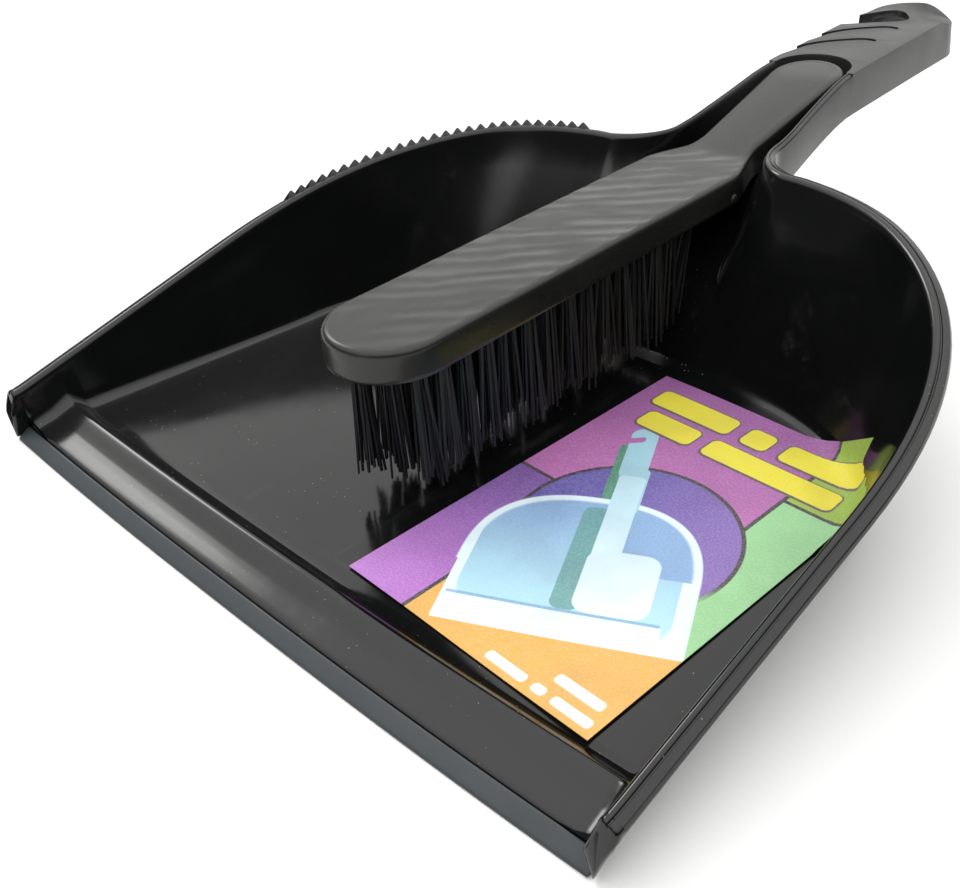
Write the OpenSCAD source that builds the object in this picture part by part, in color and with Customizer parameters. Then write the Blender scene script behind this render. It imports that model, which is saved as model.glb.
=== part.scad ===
// Dust pan with a hand brush that rests in the channel of its handle.
// X runs across the pan, Y from the lip to the end of the handle and Z up.
// The origin is the middle of the footprint, on the surface the pan stands on.

/* [Tray] */
// Width across the front lip
lip_w = 217; // [180:1:260]
// Widest width across the rim
rim_w = 226; // [200:1:271]
// Length of the straight part of each side
side_l = 80; // [66:1:92]
// Width of one round shoulder, seen from above
shoulder_w = 98; // [84:1:118]
// Length of the round shoulders, seen from above
shoulder_l = 102; // [92:1:112]
// Length of the flat floor
floor_l = 154; // [138:1:164]
// How far the edge of the floor lies inside the rim
floor_inset = 14.6; // [12:0.1:18]
// Thickness of the floor
floor_t = 2.6; // [2.2:0.1:3.2]
// Thickness of the walls
wall_t = 2.2; // [1.6:0.1:2.8]
// Width of the flange outside the wall
flange_w = 2.4; // [1.5:0.1:3.5]
// Thickness of the flange
flange_t = 1.8; // [1.2:0.1:2.5]

/* [Rim heights] */
// Height of the rim at the front corners
rim_h_front = 13.5; // [10:0.5:17]
// Height of the rim where the straight sides end
rim_h_side = 33.5; // [28:0.5:40]
// Height of the rim along the back
rim_h_back = 57; // [47:0.5:69]

/* [Front edge] */
// Depth of the soft strip, front to back
strip_d = 4.2; // [3:0.1:6]
// How far the front edge bows forward in the middle
strip_bow = 1.8; // [0.5:0.1:3]
// Height of the back edge of the soft strip
strip_h = 2.9; // [2.6:0.1:3.6]
// Height of the ridge that keeps dust in
ridge_h = 6.2; // [4.5:0.1:8]
// Distance from the lip to the top of the ridge
ridge_y = 16.5; // [12:0.5:22]

/* [Comb] */
// Distance between the teeth on the left shoulder
tooth_pitch = 4.2; // [3.4:0.1:5.2]
// Height of a tooth
tooth_h = 2; // [1.2:0.1:3]

/* [Handle] */
// Overall length from the corners of the lip to the end of the handle
overall_l = 326; // [290:1:392]
// Width of the handle where the neck ends
neck_w = 38; // [34:1:46]
// Width of the handle along the grip
grip_w = 30; // [26:0.5:36]
// Radius of the fillets between rim and handle
neck_r = 18; // [14:1:22]
// Distance from the lip to the bend of the handle
bend_y = 238; // [226:1:248]
// Rise of the handle from the back rim to the bend
bend_rise = 10; // [8:0.5:13]
// Rise of the handle from the bend to its end
end_rise = 4.5; // [2:0.5:8]
// Depth of the handle at the bend
grip_d = 14; // [11:0.5:17]
// Distance from the lip to the round end of the channel
channel_y = 255; // [246:1:264]

/* [Hanging slot] */
// Width of the hanging slot
hook_w = 12; // [9:0.5:14]
// Distance from the end of the handle to the blind end of the slot
hook_end = 22; // [19:0.5:28]
// Width of the two grip slots
grip_slot_w = 2; // [1.4:0.1:3]
// Distance between the slots
slot_pitch = 18; // [15:0.5:21]

/* [Brush] */
// Width of the brush block
block_w = 32.7; // [27:0.1:40]
// Length of the brush block with its shoulders
block_l = 153; // [126:1:156]
// Height of the brush block
block_t = 8.4; // [7:0.1:10]
// Whole length of the brush
brush_l = 212; // [205:1:216]
// Width of the brush handle at its narrow end
handle_w0 = 20; // [16:0.5:24]
// Width of the brush handle at its round end
handle_w1 = 24; // [20:0.5:25]
// Height of the brush handle
handle_t = 8.5; // [6.5:0.1:8.8]
// Slope of the brush block
block_tilt = 1; // [0.5:0.1:1.5]
// How far the block lies under the back rim
block_drop = 3.4; // [2:0.1:5]
// Free length of the bristles
bristle_l = 32; // [26:0.5:38.5]
// Radius of a tuft
tuft_r = 1.9; // [1.5:0.1:2.3]
// Distance between the tufts of a row
tuft_pitch = 7.6; // [6:0.1:9.2]
// Depth of the tuft holes
hole_d = 5.5; // [4.5:0.1:6.5]
// Width of the metal anchors
anchor_w = 2.6; // [2:0.1:2.8]
// Height of the metal anchors
anchor_h = 2.2; // [1.6:0.1:2.8]

/* [Label] */
// Width of the paper label
label_w = 76; // [62:1:84]
// Length of the paper label
label_l = 118; // [98:1:122]
// Distance from the middle of the pan to the label
label_x = 14; // [10:1:16]
// Turn of the label on the floor
label_turn = -2.5; // [-5:0.5:0]

/* [Hidden] */

$fn = 64;
over = 6;                 // how far a cutter runs past what it cuts
eps = 0.01;               // a cutter's overlap where no more is needed
fit = 0.05;               // clearance of hidden fits
rest_gap = 0.3;           // clearance under the parts that lie loose
mid_y = (overall_l - strip_bow) / 2;

pan_black = [0.07, 0.07, 0.07];
lip_slate = [0.16, 0.19, 0.20];
brush_grey = [0.22, 0.22, 0.21];
bristle_black = [0.04, 0.04, 0.05];
wire_steel = [0.62, 0.63, 0.65];
label_pink = [0.75, 0.45, 0.70];

// Tray outline
shoulder_x = rim_w / 2 - shoulder_w;
front_flare = 4;          // how far the rim stands out over the lip at each corner
slope_share = 1.14;       // level thickness of a sloping wall over its real one
wall_in = wall_t * slope_share;
rim_power = 0.885;        // roundness of the shoulders; 1 is an ellipse
floor_power = 0.816;      // roundness of the floor's back corners
floor_side_l = side_l * 1.25;
floor_w1 = rim_w / 2 - floor_inset;
floor_x = max(shoulder_x, 5);
foot_share = 0.06;        // part of the wall's height that the foot's chamfer takes
top_share = 1.15;         // how far the space inside runs on over the rim
side_steps = 10;
round_steps = 30;
foot_chamfer = 1.5;
tooth_root = 0.6;         // how far a tooth runs down into the rim
comb_from = 14;           // first and last place of the comb along the shoulder
comb_to = 74;
ridge_back = 4.6;         // depth of the slope behind the ridge
flange_draft = 0.6;       // slope of the flange's underside
ease_y = 7;

// Neck and handle outline
neck_x = neck_w / 2;
neck_dx = neck_x + neck_r - shoulder_x;
neck_cy = side_l + sqrt(pow(shoulder_l + neck_r, 2) - pow(neck_dx, 2));
neck_a = atan2(neck_cy - side_l, neck_dx);
end_r = grip_w / 2;
top_t = 2.2;
slant = 40;               // how far the slots turn from straight across
hook_share = 0.72;        // depth of the hanging slot over the handle's
thin_x = 3;               // blind end of the thin slots from the middle
thin_shift = 6;
thin_extra = 1.2;         // how far the thin slots cut below the top plate

// Heights along the pan
back_y = side_l + shoulder_l;
bend_h = rim_h_back + bend_rise;
end_h = bend_h + end_rise;
rim_line = [[0, rim_h_front], [side_l, rim_h_side], [back_y - ease_y, rim_h_back],
            [neck_cy, rim_h_back], [bend_y, bend_h], [overall_l, end_h]];
neck_d = 15;              // depth of the handle where it leaves the rim
belly_line = [[floor_l, rim_h_back * 0.25], [back_y, rim_h_back * 0.55],
              [neck_cy + 4, rim_h_back - neck_d],
              [bend_y, bend_h - grip_d], [overall_l, end_h - grip_d]];

// Brush
end_gap = 3;              // from the round end of the brush to the channel's
brush_y0 = channel_y - end_gap - brush_l;
block_z0 = rim_h_back - block_drop - block_l * sin(block_tilt);
front_r = block_w / 2;
rows = 4;
row_edge = 5.2;
row_pitch = (block_w - 2 * row_edge) / (rows - 1);
tuft_y0 = 8;
tuft_side = 6;            // how much later the two outer rows start
shoulder_run = 13;        // length of the block's shoulders
handle_run = 47;          // from the shoulders to the flatter end of the handle
crease_rise = 11.2;
tip_rise = 12.6;
nub_r = 1.5;
nub_y = block_l - 17;
nub_z = -block_t + 1.6;
tuft_last = floor_l - wall_in - tuft_r - brush_y0;
anchor_t = 0.3;

// Soft strip
strip_nose = 0.7;         // height of the strip's front edge
tongue_w = lip_w - 12;
tongue_d = 2.2;
tongue_t = 0.9;
tongue_z = 0.9;

// Paper label
paper_t = 0.4;
fold = 40;                // length that the curled corner takes off the flat part
fold_share = 0.8;

// A line through points, with its corners eased by a running mean
function eased(y, line) =
    (lookup(y - ease_y, line) + lookup(y - ease_y / 2, line) + lookup(y, line)
     + lookup(y + ease_y / 2, line) + lookup(y + ease_y, line)) / 5;
function rim_z(y) = eased(y, rim_line);
function belly_z(y) = eased(y, belly_line);

// Right half of the rim from above, moved in by d, from the lip to the back
function rim_half(d, y0 = 0) = concat(
    [for (i = [0 : side_steps - 1])
        let (t = i / side_steps)
        [(lip_w / 2 + front_flare) * (1 - t) + rim_w / 2 * t - d, y0 + (side_l - y0) * t]],
    [for (i = [0 : round_steps])
        let (a = 90 * i / round_steps)
        [shoulder_x + (shoulder_w - d) * pow(cos(a), rim_power),
         side_l + (shoulder_l - d) * pow(sin(a), rim_power)]]);

// Right half of the floor from above, moved in by d
function foot_half(d, y0 = 0) = concat(
    [for (i = [0 : side_steps - 1])
        let (t = i / side_steps)
        [lip_w / 2 * (1 - t) + floor_w1 * t - d, y0 + (floor_side_l - y0) * t]],
    [for (i = [0 : round_steps])
        let (a = 90 * i / round_steps)
        [floor_x + (floor_w1 - floor_x - d) * pow(cos(a), floor_power),
         floor_side_l + (floor_l - floor_side_l - d) * pow(sin(a), floor_power)]]);

// A level ring of points, and a ring that follows the rim's height plus dz
function ring_at(half, z) = concat(
    [for (p = half) [p[0], p[1], z]],
    [for (i = [len(half) - 1 : -1 : 0]) [-half[i][0], half[i][1], z]]);
function ring_rim(half, dz) = concat(
    [for (p = half) [p[0], p[1], rim_z(p[1]) + dz]],
    [for (i = [len(half) - 1 : -1 : 0]) [-half[i][0], half[i][1], rim_z(half[i][1]) + dz]]);
function ring_between(a, b, t) = [for (i = [0 : len(a) - 1]) a[i] * (1 - t) + b[i] * t];

// A closed solid through rings that are symmetric about x = 0
module ring_loft(rings) {
    n = len(rings[0]);
    last = (len(rings) - 1) * n;
    sides = [for (k = [0 : len(rings) - 2], i = [0 : n - 1], s = [0, 1])
        let (a = k * n + i, b = k * n + (i + 1) % n)
        s == 0 ? [a, a + n, b] : [b, a + n, b + n]];
    floor_cap = [for (i = [0 : n / 2 - 2], s = [0, 1])
        let (j = n - 1 - i)
        s == 0 ? [i, i + 1, j] : [i + 1, j - 1, j]];
    top_cap = [for (i = [0 : n / 2 - 2], s = [0, 1])
        let (j = n - 1 - i)
        s == 0 ? [last + i, last + j, last + i + 1] : [last + i + 1, last + j, last + j - 1]];
    polyhedron(points = [for (r = rings, p = r) p], faces = concat(sides, floor_cap, top_cap));
}

// Outside of the tray, with the flange
module tray_outside() {
    ring_loft([ring_at(foot_half(0), 0),
               ring_rim(rim_half(flange_w), -flange_t - flange_draft),
               ring_rim(rim_half(0), -flange_t),
               ring_rim(rim_half(0), 0)]);
}

// Space inside the tray, open at the front and the top
module tray_inside() {
    low = ring_at(foot_half(wall_in, -over), floor_t);
    high = ring_rim(rim_half(flange_w + wall_in, -over), 0);
    ring_loft([ring_at(foot_half(wall_in + foot_chamfer, -over), floor_t),
               ring_between(low, high, foot_share),
               ring_between(low, high, top_share)]);
}

// Handle from above, moved in by d, from the neck to a round end at y_end
function handle_outline(d, y_end, r_end) =
    let (r_fil = neck_r + d)
    let (half = concat(
        [[neck_x + neck_r - r_fil * cos(neck_a), floor_l - over]],
        [for (i = [0 : 12])
            let (a = 180 + neck_a * (1 - i / 12))
            [neck_x + neck_r + r_fil * cos(a), neck_cy + r_fil * sin(a)]],
        [for (i = [0 : 16])
            let (a = 90 * i / 16)
            [r_end * cos(a), y_end - r_end + r_end * sin(a)]]))
    concat(half, [for (i = [len(half) - 2 : -1 : 0]) [-half[i][0], half[i][1]]]);

// A solid that runs across X between a lower and an upper line of heights
module side_slab(y0, y1, low_dz, top_dz, w) {
    n = 40;
    ys = [for (i = [0 : n]) y0 + (y1 - y0) * i / n];
    rotate([90, 0, 90])
        linear_extrude(w, center = true)
            polygon(concat([for (y = ys) [y, belly_z(y) + low_dz]],
                           [for (i = [n : -1 : 0]) [ys[i], rim_z(ys[i]) + top_dz]]));
}

module handle_outside() {
    intersection() {
        linear_extrude(end_h + over) polygon(handle_outline(0, overall_l, end_r));
        side_slab(floor_l - over, overall_l + over, 0, 0, rim_w);
    }
}

// Channel that the brush handle lies in
module handle_channel() {
    intersection() {
        linear_extrude(end_h + 2 * over) polygon(handle_outline(wall_t, channel_y, end_r - wall_t));
        side_slab(floor_l - over, overall_l, wall_t, over, rim_w);
    }
}

// Hollow under the end of the handle, open below
module handle_hollow() {
    r = end_r - wall_t;
    y0 = channel_y + wall_t + r;
    intersection() {
        linear_extrude(end_h + over) difference() {
            union() {
                translate([0, overall_l - end_r]) circle(r);
                translate([-r, y0 - r]) square([2 * r, overall_l - end_r - y0 + r]);
            }
            translate([0, channel_y - end_r + wall_t]) circle(end_r);
        }
        side_slab(channel_y - end_r, overall_l + over, -over, -top_t, rim_w);
    }
}

// A slanted slot that opens on the left edge of the handle
module slant_slot(x1, y1, w, depth) {
    translate([x1, y1, end_h - depth]) rotate(slant) {
        cylinder(h = depth + over, r = w / 2);
        translate([-grip_w * 1.5, -w / 2, 0]) cube([grip_w * 1.5, w, depth + over]);
    }
}

module hook_and_slots() {
    slant_slot(0, overall_l - hook_end, hook_w, grip_d * hook_share);
    for (i = [1, 2])
        slant_slot(thin_x, overall_l - hook_end + thin_shift - i * slot_pitch,
                   grip_slot_w, top_t + thin_extra);
}

// Ridge and ramp behind the soft strip
module ridge() {
    foot = floor_t - 0.4;
    rotate([90, 0, 90])
        linear_extrude(rim_w, center = true)
            polygon([[strip_d, 0], [strip_d, strip_h - 0.5], [strip_d + 0.8, strip_h - 0.5],
                     [strip_d + 0.9, strip_h + 0.1], [ridge_y - 5.5, strip_h + 1.2],
                     [ridge_y - 0.8, ridge_h - 0.2], [ridge_y, ridge_h], [ridge_y + 0.8, ridge_h - 0.2],
                     [ridge_y + ridge_back, foot], [ridge_y + ridge_back, 0]]);
}

// One tooth of the comb, standing on the rim
module tooth(a) {
    in = flange_w / 2 + 0.4;
    x = shoulder_x + (shoulder_w - in) * pow(cos(a), rim_power);
    y = side_l + (shoulder_l - in) * pow(sin(a), rim_power);
    translate([-x, y, rim_z(y) - tooth_root])
        rotate(90 - a)
            rotate([90, 0, 0])
                linear_extrude(flange_w, center = true)
                    polygon([[-tooth_pitch / 2 + 0.2, 0], [0, tooth_h + tooth_root],
                             [tooth_pitch / 2 - 0.2, 0]]);
}

module comb() {
    a_step = tooth_pitch / shoulder_w * 180 / PI;
    for (a = [comb_from : a_step : comb_to]) tooth(a);
}

module dust_pan() {
    color(pan_black)
        translate([0, -mid_y, 0])
            difference() {
                union() {
                    difference() {
                        union() {
                            tray_outside();
                            handle_outside();
                        }
                        tray_inside();
                        handle_channel();
                        handle_hollow();
                    }
                    intersection() {
                        tray_outside();
                        ridge();
                    }
                    comb();
                }
                hook_and_slots();
                strip_seat();
            }
}

// Everything in front of the strip's back face, apart from the tongue
module strip_seat() {
    translate([-rim_w, -over, -over]) difference() {
        cube([2 * rim_w, over + strip_d, over + strip_h + 2 * fit]);
        translate([rim_w - tongue_w / 2, over + strip_d - tongue_d, over + tongue_z])
            cube([tongue_w, tongue_d + over, tongue_t]);
    }
}

module rubber_lip() {
    n = 24;
    xs = [for (i = [0 : n]) lip_w * (i / n - 0.5)];
    color(lip_slate)
        translate([0, -mid_y, 0])
            difference() {
                intersection() {
                    linear_extrude(strip_h)
                        polygon(concat(
                            [for (x = xs) [x, -strip_bow * (1 - pow(2 * x / lip_w, 2))]],
                            [[lip_w / 2, strip_d - fit], [-lip_w / 2, strip_d - fit]]));
                    rotate([90, 0, 90])
                        linear_extrude(lip_w + over, center = true)
                            polygon([[-strip_bow - eps, 0], [-strip_bow - eps, strip_nose],
                                     [strip_d, strip_h], [strip_d, 0]]);
                }
                translate([-tongue_w / 2 - fit, strip_d - tongue_d - fit, tongue_z - fit])
                    cube([tongue_w + 2 * fit, tongue_d + over, tongue_t + 2 * fit]);
            }
}

// Paper label on the floor; the corner over the wall's foot is folded up
module label() {
    y0 = ridge_y + ridge_back + rest_gap - label_w * sin(label_turn);
    color(label_pink)
        translate([label_x, y0 - mid_y, floor_t + rest_gap])
            rotate(label_turn)
                linear_extrude(paper_t)
                    polygon([[0, 0], [label_w, 0], [label_w, label_l - fold],
                             [label_w - fold * fold_share, label_l], [0, label_l]]);
}

// Places what is drawn in the brush's own frame: tip at y = 0, block top at z = 0
module place_brush() {
    translate([0, brush_y0 - mid_y, block_z0]) rotate([block_tilt, 0, 0]) children();
}

function block_outline() =
    let (half = concat(
        [for (i = [0 : 20])
            let (a = -90 + 90 * i / 20)
            [front_r * cos(a), front_r + front_r * sin(a)]],
        [[front_r, block_l - shoulder_run], [handle_w0 / 2, block_l]]))
    concat(half, [for (i = [len(half) - 1 : -1 : 1]) [-half[i][0], half[i][1]]]);

handle_line = [[block_l - shoulder_run, 0], [block_l, 0],
               [block_l + handle_run, crease_rise], [brush_l + over, tip_rise]];
function handle_z(y) = eased(y, handle_line);

module brush_handle() {
    n = 24;
    y0 = block_l - shoulder_run - 1;
    ys = [for (i = [0 : n]) y0 + (brush_l + over - y0) * i / n];
    r = handle_w1 / 2;
    intersection() {
        linear_extrude(60, center = true)
            polygon(concat(
                [[-handle_w0 / 2, y0 + 2], [handle_w0 / 2, y0 + 2], [handle_w0 / 2, block_l]],
                [for (i = [0 : 16])
                    let (a = 180 * i / 16)
                    [r * cos(a), brush_l - r + r * sin(a)]],
                [[-handle_w0 / 2, block_l]]));
        rotate([90, 0, 90])
            linear_extrude(block_w, center = true)
                polygon(concat([for (y = ys) [y, handle_z(y) - handle_t]],
                               [for (i = [n : -1 : 0]) [ys[i], handle_z(ys[i])]]));
    }
}

// Centres of the tufts of one row; every second row is staggered
function tuft_ys(row) =
    let (shift = row % 2 == 0 ? 0 : tuft_pitch / 2,
         side = row == 1 || row == rows ? tuft_side : 0)
    [for (y = [tuft_y0 + side + shift : tuft_pitch : tuft_last]) y];
function row_x(row) = (row - (rows + 1) / 2) * row_pitch;

module brush_body() {
    color(brush_grey)
        place_brush()
            difference() {
                union() {
                    translate([0, 0, -block_t]) linear_extrude(block_t) polygon(block_outline());
                    brush_handle();
                    for (s = [-1, 1])
                        translate([s * (front_r - nub_r / 3), nub_y, nub_z])
                            sphere(r = nub_r, $fn = 24);
                }
                for (row = [1 : rows], y = tuft_ys(row))
                    translate([row_x(row), y, -block_t - eps])
                        cylinder(h = hole_d + eps, r = tuft_r, $fn = 24);
            }
}

module tufts(row) {
    color(bristle_black)
        place_brush()
            for (y = tuft_ys(row))
                translate([row_x(row), y, -block_t - bristle_l])
                    difference() {
                        cylinder(h = bristle_l + hole_d - fit, r = tuft_r - fit, $fn = 24);
                        translate([-anchor_w / 2 - fit, -anchor_t / 2 - fit, bristle_l + hole_d - anchor_h - 2 * fit])
                            cube([anchor_w + 2 * fit, anchor_t + 2 * fit, anchor_h + over]);
                    }
}

module anchors(row) {
    color(wire_steel)
        place_brush()
            for (y = tuft_ys(row))
                translate([row_x(row) - anchor_w / 2, y - anchor_t / 2, -block_t + hole_d - anchor_h - fit])
                    cube([anchor_w, anchor_t, anchor_h]);
}

dust_pan();
rubber_lip();
label();
brush_body();
tufts(1);  // tufts_row_1
tufts(2);  // tufts_row_2
tufts(3);  // tufts_row_3
tufts(4);  // tufts_row_4
anchors(1);  // anchors_row_1
anchors(2);  // anchors_row_2
anchors(3);  // anchors_row_3
anchors(4);  // anchors_row_4
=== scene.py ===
"""A dust pan with a hand brush that rests in the channel of its handle.

Each sub-assembly is a class that holds its sizes in millimetres, builds its
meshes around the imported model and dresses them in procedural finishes.
"""

import logging
import math
import random
from dataclasses import dataclass
from enum import Enum
from typing import Sequence

import bmesh
import bpy
from mathutils import Matrix, Vector

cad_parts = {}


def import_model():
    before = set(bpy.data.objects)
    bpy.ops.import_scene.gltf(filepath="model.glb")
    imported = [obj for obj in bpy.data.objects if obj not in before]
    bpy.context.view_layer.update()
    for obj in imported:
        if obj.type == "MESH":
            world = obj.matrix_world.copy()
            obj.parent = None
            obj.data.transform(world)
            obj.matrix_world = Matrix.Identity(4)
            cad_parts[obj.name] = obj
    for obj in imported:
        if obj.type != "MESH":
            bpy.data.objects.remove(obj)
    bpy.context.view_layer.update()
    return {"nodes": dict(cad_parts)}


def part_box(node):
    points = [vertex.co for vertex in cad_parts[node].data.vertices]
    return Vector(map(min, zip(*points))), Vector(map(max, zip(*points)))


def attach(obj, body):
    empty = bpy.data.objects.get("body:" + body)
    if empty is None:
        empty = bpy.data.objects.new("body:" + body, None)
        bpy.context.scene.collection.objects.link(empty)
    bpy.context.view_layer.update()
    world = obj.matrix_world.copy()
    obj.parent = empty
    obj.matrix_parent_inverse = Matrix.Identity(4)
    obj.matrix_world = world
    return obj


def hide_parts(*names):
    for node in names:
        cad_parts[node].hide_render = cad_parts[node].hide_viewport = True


LOG = logging.getLogger("dust_pan_set")
MM = 0.001
MERGE = 2e-6  # points nearer than this are one
Line = Sequence[tuple[float, float]]
Colour = tuple[float, float, float, float]


class Body(str, Enum):
    """The two parts that move against each other."""

    PAN = "pan"
    BRUSH = "brush"


class Slot(str, Enum):
    """Names of the material slots."""

    PAN = "pan_plastic"
    LIP = "lip_rubber"
    LABEL = "label_paper"
    BRUSH = "brush_plastic"
    BRISTLE = "bristle"


# Small helpers ---------------------------------------------------------------


def srgb(red: int, green: int, blue: int) -> Colour:
    """Turns a colour of 0 to 255 a channel into linear light.

    Args:
        red: Red share.
        green: Green share.
        blue: Blue share.

    Returns:
        The colour in linear light, opaque.
    """
    def channel(value: int) -> float:
        """One channel in linear light."""
        share = value / 255
        return share / 12.92 if share <= 0.04045 else ((share + 0.055) / 1.055) ** 2.4

    return channel(red), channel(green), channel(blue), 1.0


def lookup(line: Line, at: float) -> float:
    """Reads a line of points at one place, level beyond its ends.

    Args:
        line: Points with rising first values.
        at: The place.

    Returns:
        The value there.
    """
    if at <= line[0][0]:
        return line[0][1]
    for (x0, y0), (x1, y1) in zip(line, line[1:]):
        if at <= x1:
            return y0 + (y1 - y0) * (at - x0) / (x1 - x0)
    return line[-1][1]


def eased(line: Line, at: float, reach: float = 7.0) -> float:
    """Reads a line of points with its corners eased over a reach."""
    return sum(lookup(line, at + reach * share) for share in (-1, -0.5, 0, 0.5, 1)) / 5


def smooth(value: float) -> float:
    """A step from 0 to 1 with soft ends."""
    share = min(max(value, 0.0), 1.0)
    return share * share * (3 - 2 * share)


def turned(angle: float) -> Vector:
    """The flat unit vector at an angle in degrees."""
    return Vector((math.cos(math.radians(angle)), math.sin(math.radians(angle))))


def deselect() -> None:
    """Leaves object mode with nothing selected."""
    if bpy.context.object and bpy.context.object.mode != "OBJECT":
        bpy.ops.object.mode_set(mode="OBJECT")
    bpy.ops.object.select_all(action="DESELECT")


def take(piece: bpy.types.Object) -> None:
    """Makes a piece the only selected and the active one."""
    deselect()
    piece.select_set(True)
    bpy.context.view_layer.objects.active = piece


def started(name: str) -> bpy.types.Object:
    """Names the primitive that was just added, and its mesh.

    Args:
        name: Name for both.

    Returns:
        The piece.
    """
    piece = bpy.context.object
    piece.name = name
    piece.data.name = name
    return piece


def apply_modifier(piece: bpy.types.Object, kind: str, **settings: object) -> None:
    """Adds a modifier to a piece and applies it.

    Args:
        piece: The piece to change.
        kind: The modifier's type.
        settings: Values of the modifier.
    """
    take(piece)
    modifier = piece.modifiers.new(kind.title(), kind)
    for key, value in settings.items():
        setattr(modifier, key, value)
    bpy.ops.object.modifier_apply(modifier=modifier.name)


def close_up(piece: bpy.types.Object, angle: float = 35.0, merge: float = MERGE) -> None:
    """Merges doubles, turns faces outwards and smooths the flatter edges.

    Args:
        piece: The piece to finish.
        angle: Edges flatter than this many degrees shade smoothly.
        merge: Distance in metres within which points are merged.
    """
    take(piece)
    bpy.ops.object.mode_set(mode="EDIT")
    bpy.ops.mesh.select_all(action="SELECT")
    bpy.ops.mesh.remove_doubles(threshold=merge)
    bpy.ops.mesh.dissolve_degenerate(threshold=merge / 2)
    bpy.ops.mesh.normals_make_consistent(inside=False)
    bpy.ops.object.mode_set(mode="OBJECT")
    bpy.ops.object.shade_smooth_by_angle(angle=math.radians(angle))


def sheet_of(name: str, rows: Sequence[Sequence[Vector]]) -> tuple[bpy.types.Object, dict]:
    """A grid whose points are drawn out to rows of places.

    Args:
        name: Name of the piece.
        rows: Places in metres, row by row.

    Returns:
        The piece, and the index of the point at each (row, column).
    """
    along, across = len(rows) - 1, len(rows[0]) - 1
    deselect()
    bpy.ops.mesh.primitive_grid_add(x_subdivisions=across, y_subdivisions=along, size=1)
    piece = started(name)
    order = {}
    for vertex in piece.data.vertices:
        row, column = round((vertex.co.y + 0.5) * along), round((vertex.co.x + 0.5) * across)
        order[row, column] = vertex.index
        vertex.co = rows[row][column]
    piece.data.update()
    return piece, order


def half_shell(name: str, rows: Sequence[Sequence[Vector]], ends: Sequence[int]) -> bpy.types.Object:
    """A closed shell, mirrored across the middle, through half sections.

    Each row runs from the middle of the upper side, over the edge, to the
    middle of the lower side, and its points pair up from both ends.

    Args:
        name: Name of the piece.
        rows: The half sections in metres.
        ends: The rows that are closed with faces between the paired points.

    Returns:
        The finished piece.
    """
    piece, order = sheet_of(name, rows)
    last = len(rows[0]) - 1
    mesh = bmesh.new()
    mesh.from_mesh(piece.data)
    mesh.verts.ensure_lookup_table()
    for row in ends:
        for column in range(len(rows[0]) // 2 - 1):
            corners = (column, column + 1, last - column - 1, last - column)
            mesh.faces.new([mesh.verts[order[row, corner]] for corner in corners])
    mesh.to_mesh(piece.data)
    mesh.free()
    apply_modifier(piece, "MIRROR", use_clip=True, merge_threshold=MERGE)
    close_up(piece)
    return piece


def prism(name: str, outline: Sequence[tuple[float, float]], low: float, high: float) -> bpy.types.Object:
    """An upright prism: a filled ring drawn out to an outline, then extruded.

    Args:
        name: Name of the piece.
        outline: Corners seen from above, in metres.
        low: Height of the lower face.
        high: Height of the upper face.

    Returns:
        The piece, with flat shading.
    """
    deselect()
    bpy.ops.mesh.primitive_circle_add(vertices=len(outline), radius=1, fill_type="NGON")
    piece = started(name)
    by_angle = sorted(piece.data.vertices, key=lambda v: math.atan2(v.co.y, v.co.x) % math.tau)
    for vertex, (x, y) in zip(by_angle, outline):
        vertex.co = (x, y, low)
    take(piece)
    bpy.ops.object.mode_set(mode="EDIT")
    bpy.ops.mesh.select_all(action="SELECT")
    bpy.ops.mesh.extrude_region_move(TRANSFORM_OT_translate={"value": (0, 0, high - low)})
    bpy.ops.mesh.select_all(action="SELECT")
    bpy.ops.mesh.normals_make_consistent(inside=False)
    bpy.ops.object.mode_set(mode="OBJECT")
    return piece


def cut(piece: bpy.types.Object, cutter: bpy.types.Object) -> None:
    """Cuts one solid out of another and removes the cutter."""
    apply_modifier(piece, "BOOLEAN", object=cutter, operation="DIFFERENCE", solver="EXACT")
    bpy.data.objects.remove(cutter)


def cap_ends(piece: bpy.types.Object) -> None:
    """Fills the open ends of a swept piece and finishes it.

    Args:
        piece: The swept piece.
    """
    take(piece)
    bpy.ops.object.mode_set(mode="EDIT")
    bpy.ops.mesh.select_all(action="SELECT")
    bpy.ops.mesh.remove_doubles(threshold=MERGE)
    bpy.ops.mesh.fill_holes(sides=0)
    bpy.ops.object.mode_set(mode="OBJECT")
    close_up(piece, 40.0)


def joined(name: str, parts: Sequence[bpy.types.Object]) -> bpy.types.Object:
    """Joins parts into one piece with its own mesh.

    Args:
        name: Name of the piece.
        parts: The parts to join.

    Returns:
        The piece.
    """
    deselect()
    for part in parts:
        part.select_set(True)
    bpy.context.view_layer.objects.active = parts[0]
    bpy.ops.object.join()
    return started(name)


def set_down(piece: bpy.types.Object, body: Body, slot: Slot, finish: bpy.types.Material,
             *nodes: str) -> None:
    """Gives a piece its finish, its body and the nodes that it stands for.

    Args:
        piece: The finished piece, at the origin with its place in its mesh.
        body: The body that it rides on.
        slot: The material slot; not used.
        finish: The material.
        nodes: CAD nodes that it replaces.
    """
    piece.data.materials.clear()
    piece.data.materials.append(finish)
    if nodes:
        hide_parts(*nodes)
    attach(piece, body.value)
    LOG.info("%s: %d faces on %s", piece.name, len(piece.data.polygons), body.value)


# Shader building -------------------------------------------------------------


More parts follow.
